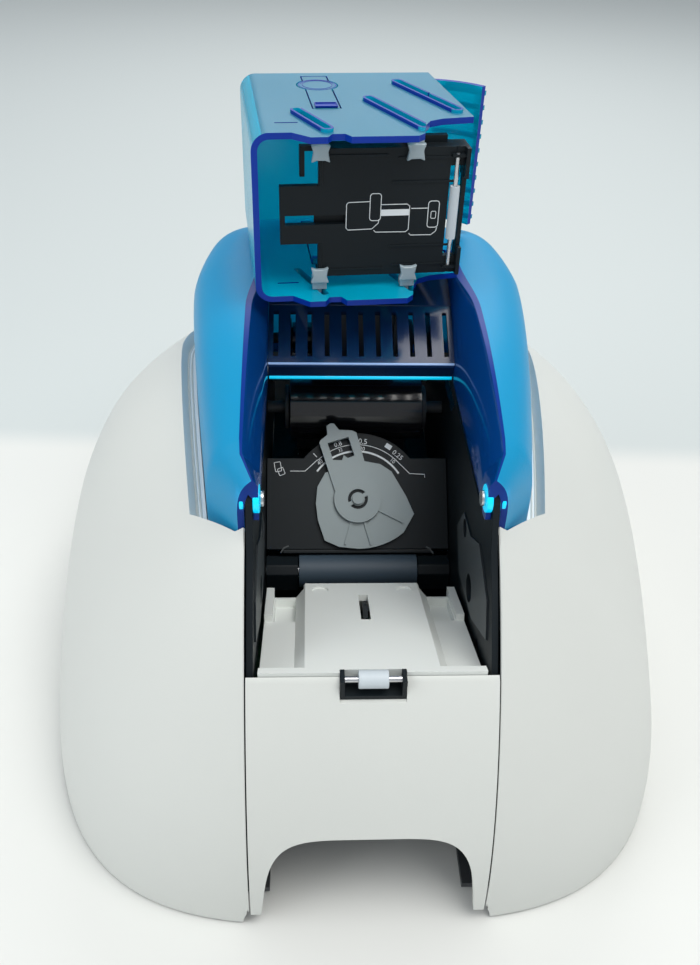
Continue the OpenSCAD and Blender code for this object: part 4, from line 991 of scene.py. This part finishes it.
# Front webs, which close the arms outside the side frames
web_x, web_y, web_wall = 46.9, 75.4, 1.2
web_line = [(x, z) for x, _, z in side_lines(web_y)[1] if x > web_x]
web_line += [(web_x, web_line[-1][1]), (web_x, web_line[0][1])]
# Takes an outline to the plane that faces the front, and its height along Y
facing = Matrix(((1, 0, 0, 0), (0, 0, 1, 0), (0, 1, 0, 0), (0, 0, 0, 1)))
web_parts = [
    prism("web", [(side * x, z) for x, z in web_line], web_y, web_y + web_wall) for side in (-1, 1)
]
webs = show_joined("arm_webs", web_parts, stand(0, 0, 0) @ facing, skin_blue)
goes_with(plain_mesh(webs), "printer_lid")

# Round bosses on both faces of each hinge eye, bright with a painted glow of cyan
inner_boss, outer_boss = (flange_in_x - 0.25, flange_out_x + 0.1, 5.4), (47.0, 48.6, 4.4)
boss_round = 0.4
eye_parts = []
for side in (-1, 1):
    for x0, x1, radius in (inner_boss, outer_boss):
        low, high = sorted((side * x0, side * x1))
        eye_parts.append(prism("hinge_eye", arc(radius, 0, 351, 39), low, high))
eyes = show_joined("hinge_bosses", eye_parts, stand(0, hinge_y, hinge_z) @ across, painted_glow_cyan)
goes_with(soften(eyes, boss_round), "printer_lid")


# ---- Slotted panel
# A dark clear panel moulded between the lid's arms, with a row of slots over the ribbon. Its
# front edge and the lip under it show two bright lines, which are painted highlights.

panel_navy = tinted_plastic("panel_navy", (0.006, 0.028, 0.10), 0.18, 0.3, shine=0.35, coat=0.15)
# A lavender that glows though it is no lamp: a painted highlight
painted_glow_lavender = tinted_plastic("painted_glow_lavender", (0.20, 0.32, 0.56), 0.2, 0.0, painted_glow=0.4)
panel_round = 0.2
soften_nodes(panel_navy, "slotted_panel", radius=panel_round)

# A thin bar over the panel's front edge, which carries a painted highlight
bar_half, bar_front, bar_back, bar_low, bar_high, bar_round = 41.2, -0.12, 0.8, -2.4, 0.15, 0.15
bar_line = box_line(bar_front, bar_low, bar_back, bar_high)
bar_place = stand(0, vent_y, vent_z) @ Matrix.Rotation(vent_tilt, 4, "X") @ across
bar_parts = [prism("bar", bar_line, -bar_half, bar_half)]
bar = show_joined("panel_bar", bar_parts, bar_place, painted_glow_lavender)
goes_with(soften(bar, bar_round), "slotted_panel")

# A round bead along the lip's lower edge, which carries a painted highlight
bead_half, bead_radius, bead_back, bead_drop = 41, 0.95, 3, 8.4
bead_parts = [prism("bead", arc(bead_radius, 0, 345, 23), -bead_half, bead_half)]
bead_place = stand(0, vent_y + bead_back, vent_z - bead_drop) @ across
bead = show_joined("lip_bead", bead_parts, bead_place, painted_glow_cyan)
goes_with(plain_mesh(bead), "slotted_panel")


# ---- Feeder cover
# A deep cover of clear cyan moulded plastic that lies on its side: two cheeks with slanted slots
# and finger latches, and a curved apron of ribs. Its cut edges take a darker ultramarine copy of
# the plastic, painted shade, and the upper cheek's top a darker frosted copy, painted shade too.

cover_width, cover_depth, cover_height = 92, 86, 69
cover_x, cover_y, cover_lift = -50, 172, 188.7
cover_middle = Matrix.Translation((cover_width / 2, cover_depth / 2, 0))
cover_turn = Matrix.Rotation(radians(6), 4, "Z")
cover_corner = stand(cover_x, cover_y, cover_lift)
cover_to_bench = cover_corner @ cover_middle @ cover_turn @ cover_middle.inverted()
cover_cyan = tinted_plastic("cover_cyan", (0.0, 0.60, 0.86), 0.22, 0.5, shine=0.3)
# Cut edges: a darker ultramarine copy of the cover's plastic, painted shade
cover_edge_painted_shade = tinted_plastic("cover_edge_painted_shade", (0.002, 0.035, 0.36), 0.3, 0.1, shine=0.2)
# Upper cheek: a real frost of grain and sheen, and a darker tone that is painted shade
cheek_frost_painted_shade = tinted_plastic(
    "cheek_frost_painted_shade", (0.012, 0.25, 0.40), 0.45, 0.4, sheen=0.12, shine=0.3, frost=0.06
)
# The upper cheek, whose top takes the frosted copy with painted shade: its least height, and
# how level its faces are
cheek_top, cheek_level = (cover_lift + 66) / 1000, 0.9
widest_cut, sharp_corner = 2.7, radians(50)
cover_round = 0.25


def cut_edges(mesh, widest):
    """Indexes of the faces that are cut edges of the sheet: narrow, between two sharp corners."""
    work = bmesh.new()
    work.from_mesh(mesh)
    found = set()
    for face in work.faces:
        lengths = [e.calc_length() for e in face.edges]
        if 2 * face.calc_area() / sum(lengths) > widest / 1000:
            continue
        long_ones = [e for e, length in zip(face.edges, lengths) if length > 1.2 * widest / 1000]
        if long_ones and all(e.calc_face_angle(0) > sharp_corner for e in long_ones):
            found.add(face.index)
    work.free()
    return found


for node in ("feeder_cover", "top_latch", "bottom_latch"):
    mesh = clean_copy(node)
    cut = cut_edges(mesh, widest_cut)
    thing = show(node + "_moulding", mesh, cover_cyan, cover_edge_painted_shade, cheek_frost_painted_shade)
    # Cut edges and the upper cheek's top faces take the copies with painted shade
    for face in mesh.polygons:
        if face.index in cut:
            face.material_index = 1
        elif face.normal.z > cheek_level and face.center.z > cheek_top:
            face.material_index = 2
    stands_for(soften(thing, cover_round), node)

# Finger ring and hook tab on each latch, moulded with it, in the darker edge copy of painted
# shade, with a painted glint arc on the ring
latch_x, ring_y, tab_y, tab_half, tab_length = 32.6, 66, 31.2, 4.4, 5.2
ring_low, ring_high, glint_high = -0.05, 0.12, 0.08
outer_ring, inner_ring, glint_ring = 8.1, 6.5, 7.3
ring_middle = (latch_x, ring_y)
tab = box_line(latch_x - tab_half, tab_y, latch_x + tab_half, tab_y + tab_length)


def full_ring(radius):
    return arc(radius, 0, 350, 35, ring_middle)


for node, height, way in (("top_latch", cover_height, 1), ("bottom_latch", 0, -1)):
    ring_parts = [
        stroke("ring", full_ring(outer_ring), 0.45, ring_low, ring_high, closed=True),
        stroke("ring", full_ring(inner_ring), 0.35, ring_low, ring_high, closed=True),
        stroke("glint", arc(glint_ring, 15, 165, 20, ring_middle), 0.3, ring_low, glint_high),
        prism("hook_tab", tab, -0.3, 0.5),
        stroke("hook_step", tab, 0.8, 0.3, 0.9, closed=True),
    ]
    outwards = Matrix.Translation((0, 0, height)) @ Matrix.Scale(way, 4, (0, 0, 1))
    ring = show_joined(node + "_ring", ring_parts, cover_to_bench @ outwards, cover_edge_painted_shade)
    goes_with(plain_mesh(ring), node)


# ---- Pusher plate
# A black moulded plate on slanted runners presses the cards down. It has a cut window, pressed
# ridges, white printed card outlines, and a white roller on a steel shaft along one side.

plate_face_y = 6
window = box_line(24.8, 8.9, 37.6, 5.0)
window_low, window_high, plate_round = 30.6, 34.4, 0.35
plate = show("pusher_plate_moulding", clean_copy("pusher_plate"), black_plastic)
cutter = show("window_cut", prism("window_cut", window, window_low, window_high), black_plastic)
cutter.data.transform(cover_to_bench)
face_outwards(cutter.data)
opening = plate.modifiers.new("window", "BOOLEAN")
opening.object = cutter
opening.solver = "EXACT"
solve(plate)
bpy.data.objects.remove(cutter)
stands_for(soften(plate, plate_round), "pusher_plate")
soften_nodes(steel, "pusher_shaft")
soften_nodes(white_rubber, "pusher_roller", radius=fine_round)

# Outlines drawn on the plate's face: X along the cover, Y up, and height out of the face
to_face = cover_to_bench @ Matrix.Rotation(pi / 2, 4, "X")
to_face = to_face @ Matrix.Translation((0, 0, -plate_face_y))

ridge_width, ridge_low, ridge_high, ridge_round = 1.0, -0.1, 0.45, 0.2
ridge_lines = [
    [(56, 47.4), (83, 47.4)], [(56, 20.6), (83, 20.6)], [(30, 58.2), (54, 58.2)],
    [(58, 57.0), (82, 57.0)], [(30, 11.0), (54, 11.0)], [(58, 12.2), (82, 12.2)],
    [(27.5, 46.5), (27.5, 57)], [(27.5, 12), (27.5, 22.5)],
]
ridge_parts = [stroke("ridge", line, ridge_width, ridge_low, ridge_high) for line in ridge_lines]
ridges = show_joined("plate_ridges", ridge_parts, to_face, black_plastic)
goes_with(soften(ridges, ridge_round), "pusher_plate")

card_edges = [
    [(47.5, 39.7), (38.7, 39.5), (37.9, 38.7), (37.9, 28.9), (38.7, 28.0), (48.6, 28.2),
     (51.2, 30.6), (51.4, 32.2)],
    [(52.0, 38.3), (62.8, 38.3), (63.9, 37.4), (63.9, 27.6), (62.8, 26.6), (50.2, 26.8),
     (49.4, 27.6)],
    [(64.6, 36.4), (71.6, 36.4)],
    [(64.2, 25.9), (65.0, 25.1), (73.6, 25.0), (75.6, 26.6), (75.9, 28.2)],
]
folds = [card_line(47.5, 31.7, 52.0, 42.9, 1.2), card_line(71.7, 28.2, 76.2, 39.3, 1.2)]
chip = card_line(73.0, 32.0, 75.0, 35.0, 0.5)
icon_parts = [stroke("card_edge", line, card_ink) for line in card_edges]
icon_parts += [stroke("fold", line, card_ink, closed=True) for line in folds]
icon_parts.append(stroke("chip", chip, card_ink * 0.8, closed=True))
icon_parts.append(prism("stripe", box_line(52.2, 33.6, 63.7, 36.2), 0, ink_high))
icons = show_joined("card_outlines", icon_parts, to_face, dial_white)
goes_with(plain_mesh(icons), "pusher_plate")


# ---- Runner clips
# Four clips of clear plastic hold the plate's runners in the slots of the cheeks. Each has a
# saddle-shaped head that shows against the black plate.

clip_clear = tinted_plastic("clip_clear", (0.55, 0.66, 0.72), 0.2, 0.45, coat=0.3)
clip_round, head_round, head_low, head_high = 0.5, 0.6, 0.3, 2.7
soften_nodes(clip_clear, "plate_clips", radius=clip_round)
saddle = [
    (-3.9, 3.4), (3.9, 3.4), (2.9, 0.6), (3.7, -3.4),
    (1.7, -2.6), (-1.7, -2.6), (-3.7, -3.4), (-2.9, 0.6),
]
head_xs, head_ends = (27.1, 64.7), ((59.6, 1), (9.4, -1))
head_parts = [
    prism("clip_head", [(x + dx, y + dy * way) for dx, dy in saddle], head_low, head_high)
    for x in head_xs for y, way in head_ends
]
heads = show_joined("clip_heads", head_parts, to_face, clip_clear)
goes_with(soften(heads, head_round, 30, 3), "plate_clips")


# ---- Pusher springs
# Two coils of steel wire behind the plate push it out along its slots. Each is wound on a rod,
# cut square at its ends, and sits between the plate and the cover's floor.

spring_radius, wire_radius, spring_y = 2.35, 0.32, 11.4


def coil_tree():
    """Wire wound round an axis: its radius, length, turns and wire."""
    tree = bpy.data.node_groups.new("wire_coil", "GeometryNodeTree")
    face = tree.interface
    sizes = {}
    for name in ("Coil radius", "Coil length", "Turns", "Wire radius", "Finish"):
        kind = "NodeSocketMaterial" if name == "Finish" else "NodeSocketFloat"
        sizes[name] = face.new_socket(name, in_out="INPUT", socket_type=kind).identifier
    face.new_socket("Geometry", in_out="OUTPUT", socket_type="NodeSocketGeometry")
    given = add_node(tree, "NodeGroupInput")
    spiral = add_node(tree, "GeometryNodeCurveSpiral", {"Resolution": 20})
    wire = add_node(tree, "GeometryNodeCurvePrimitiveCircle", {"Resolution": 8})
    tube = add_node(tree, "GeometryNodeCurveToMesh", {"Fill Caps": True})
    real = add_node(tree, "GeometryNodeRealizeInstances")
    finish = add_node(tree, "GeometryNodeSetMaterial")
    result = add_node(tree, "NodeGroupOutput")
    connect(
        tree, (given, "Coil radius", spiral, "Start Radius"),
        (given, "Coil radius", spiral, "End Radius"), (given, "Coil length", spiral, "Height"),
        (given, "Turns", spiral, "Rotations"), (given, "Wire radius", wire, "Radius"),
        (spiral, "Curve", tube, "Curve"), (wire, "Curve", tube, "Profile Curve"),
        (tube, "Mesh", real, "Geometry"), (real, "Geometry", finish, "Geometry"),
        (given, "Finish", finish, "Material"), (finish, "Geometry", result, "Geometry"),
    )
    return tree, sizes


wire_tree, wire_sizes = coil_tree()


def coil(length, turns, x, y, z):
    """One coil along X from a place in the cover, as a plain mesh."""
    thing = show("coil_start", bpy.data.meshes.new("coil_start"), steel)
    winding = thing.modifiers.new("winding", "NODES")
    winding.node_group = wire_tree
    for name, value in (
        ("Coil radius", spring_radius - wire_radius), ("Coil length", length), ("Turns", turns),
        ("Wire radius", wire_radius), ("Finish", steel),
    ):
        winding[wire_sizes[name]] = value
    mesh = solved_mesh(thing)
    bpy.data.objects.remove(thing)
    mesh.transform(Matrix.Translation((x, y, z)) @ Matrix.Rotation(pi / 2, 4, "Y"))
    return mesh


coils = [
    coil(length=12.0, turns=9.0, x=25.2, y=spring_y, z=cover_height / 2 - 2),
    coil(length=14.0, turns=10.0, x=62.5, y=spring_y, z=cover_height - 12),
]
springs = show_joined("pusher_coils", coils, cover_to_bench, steel)
stands_for(plain_mesh(springs), "pusher_springs")
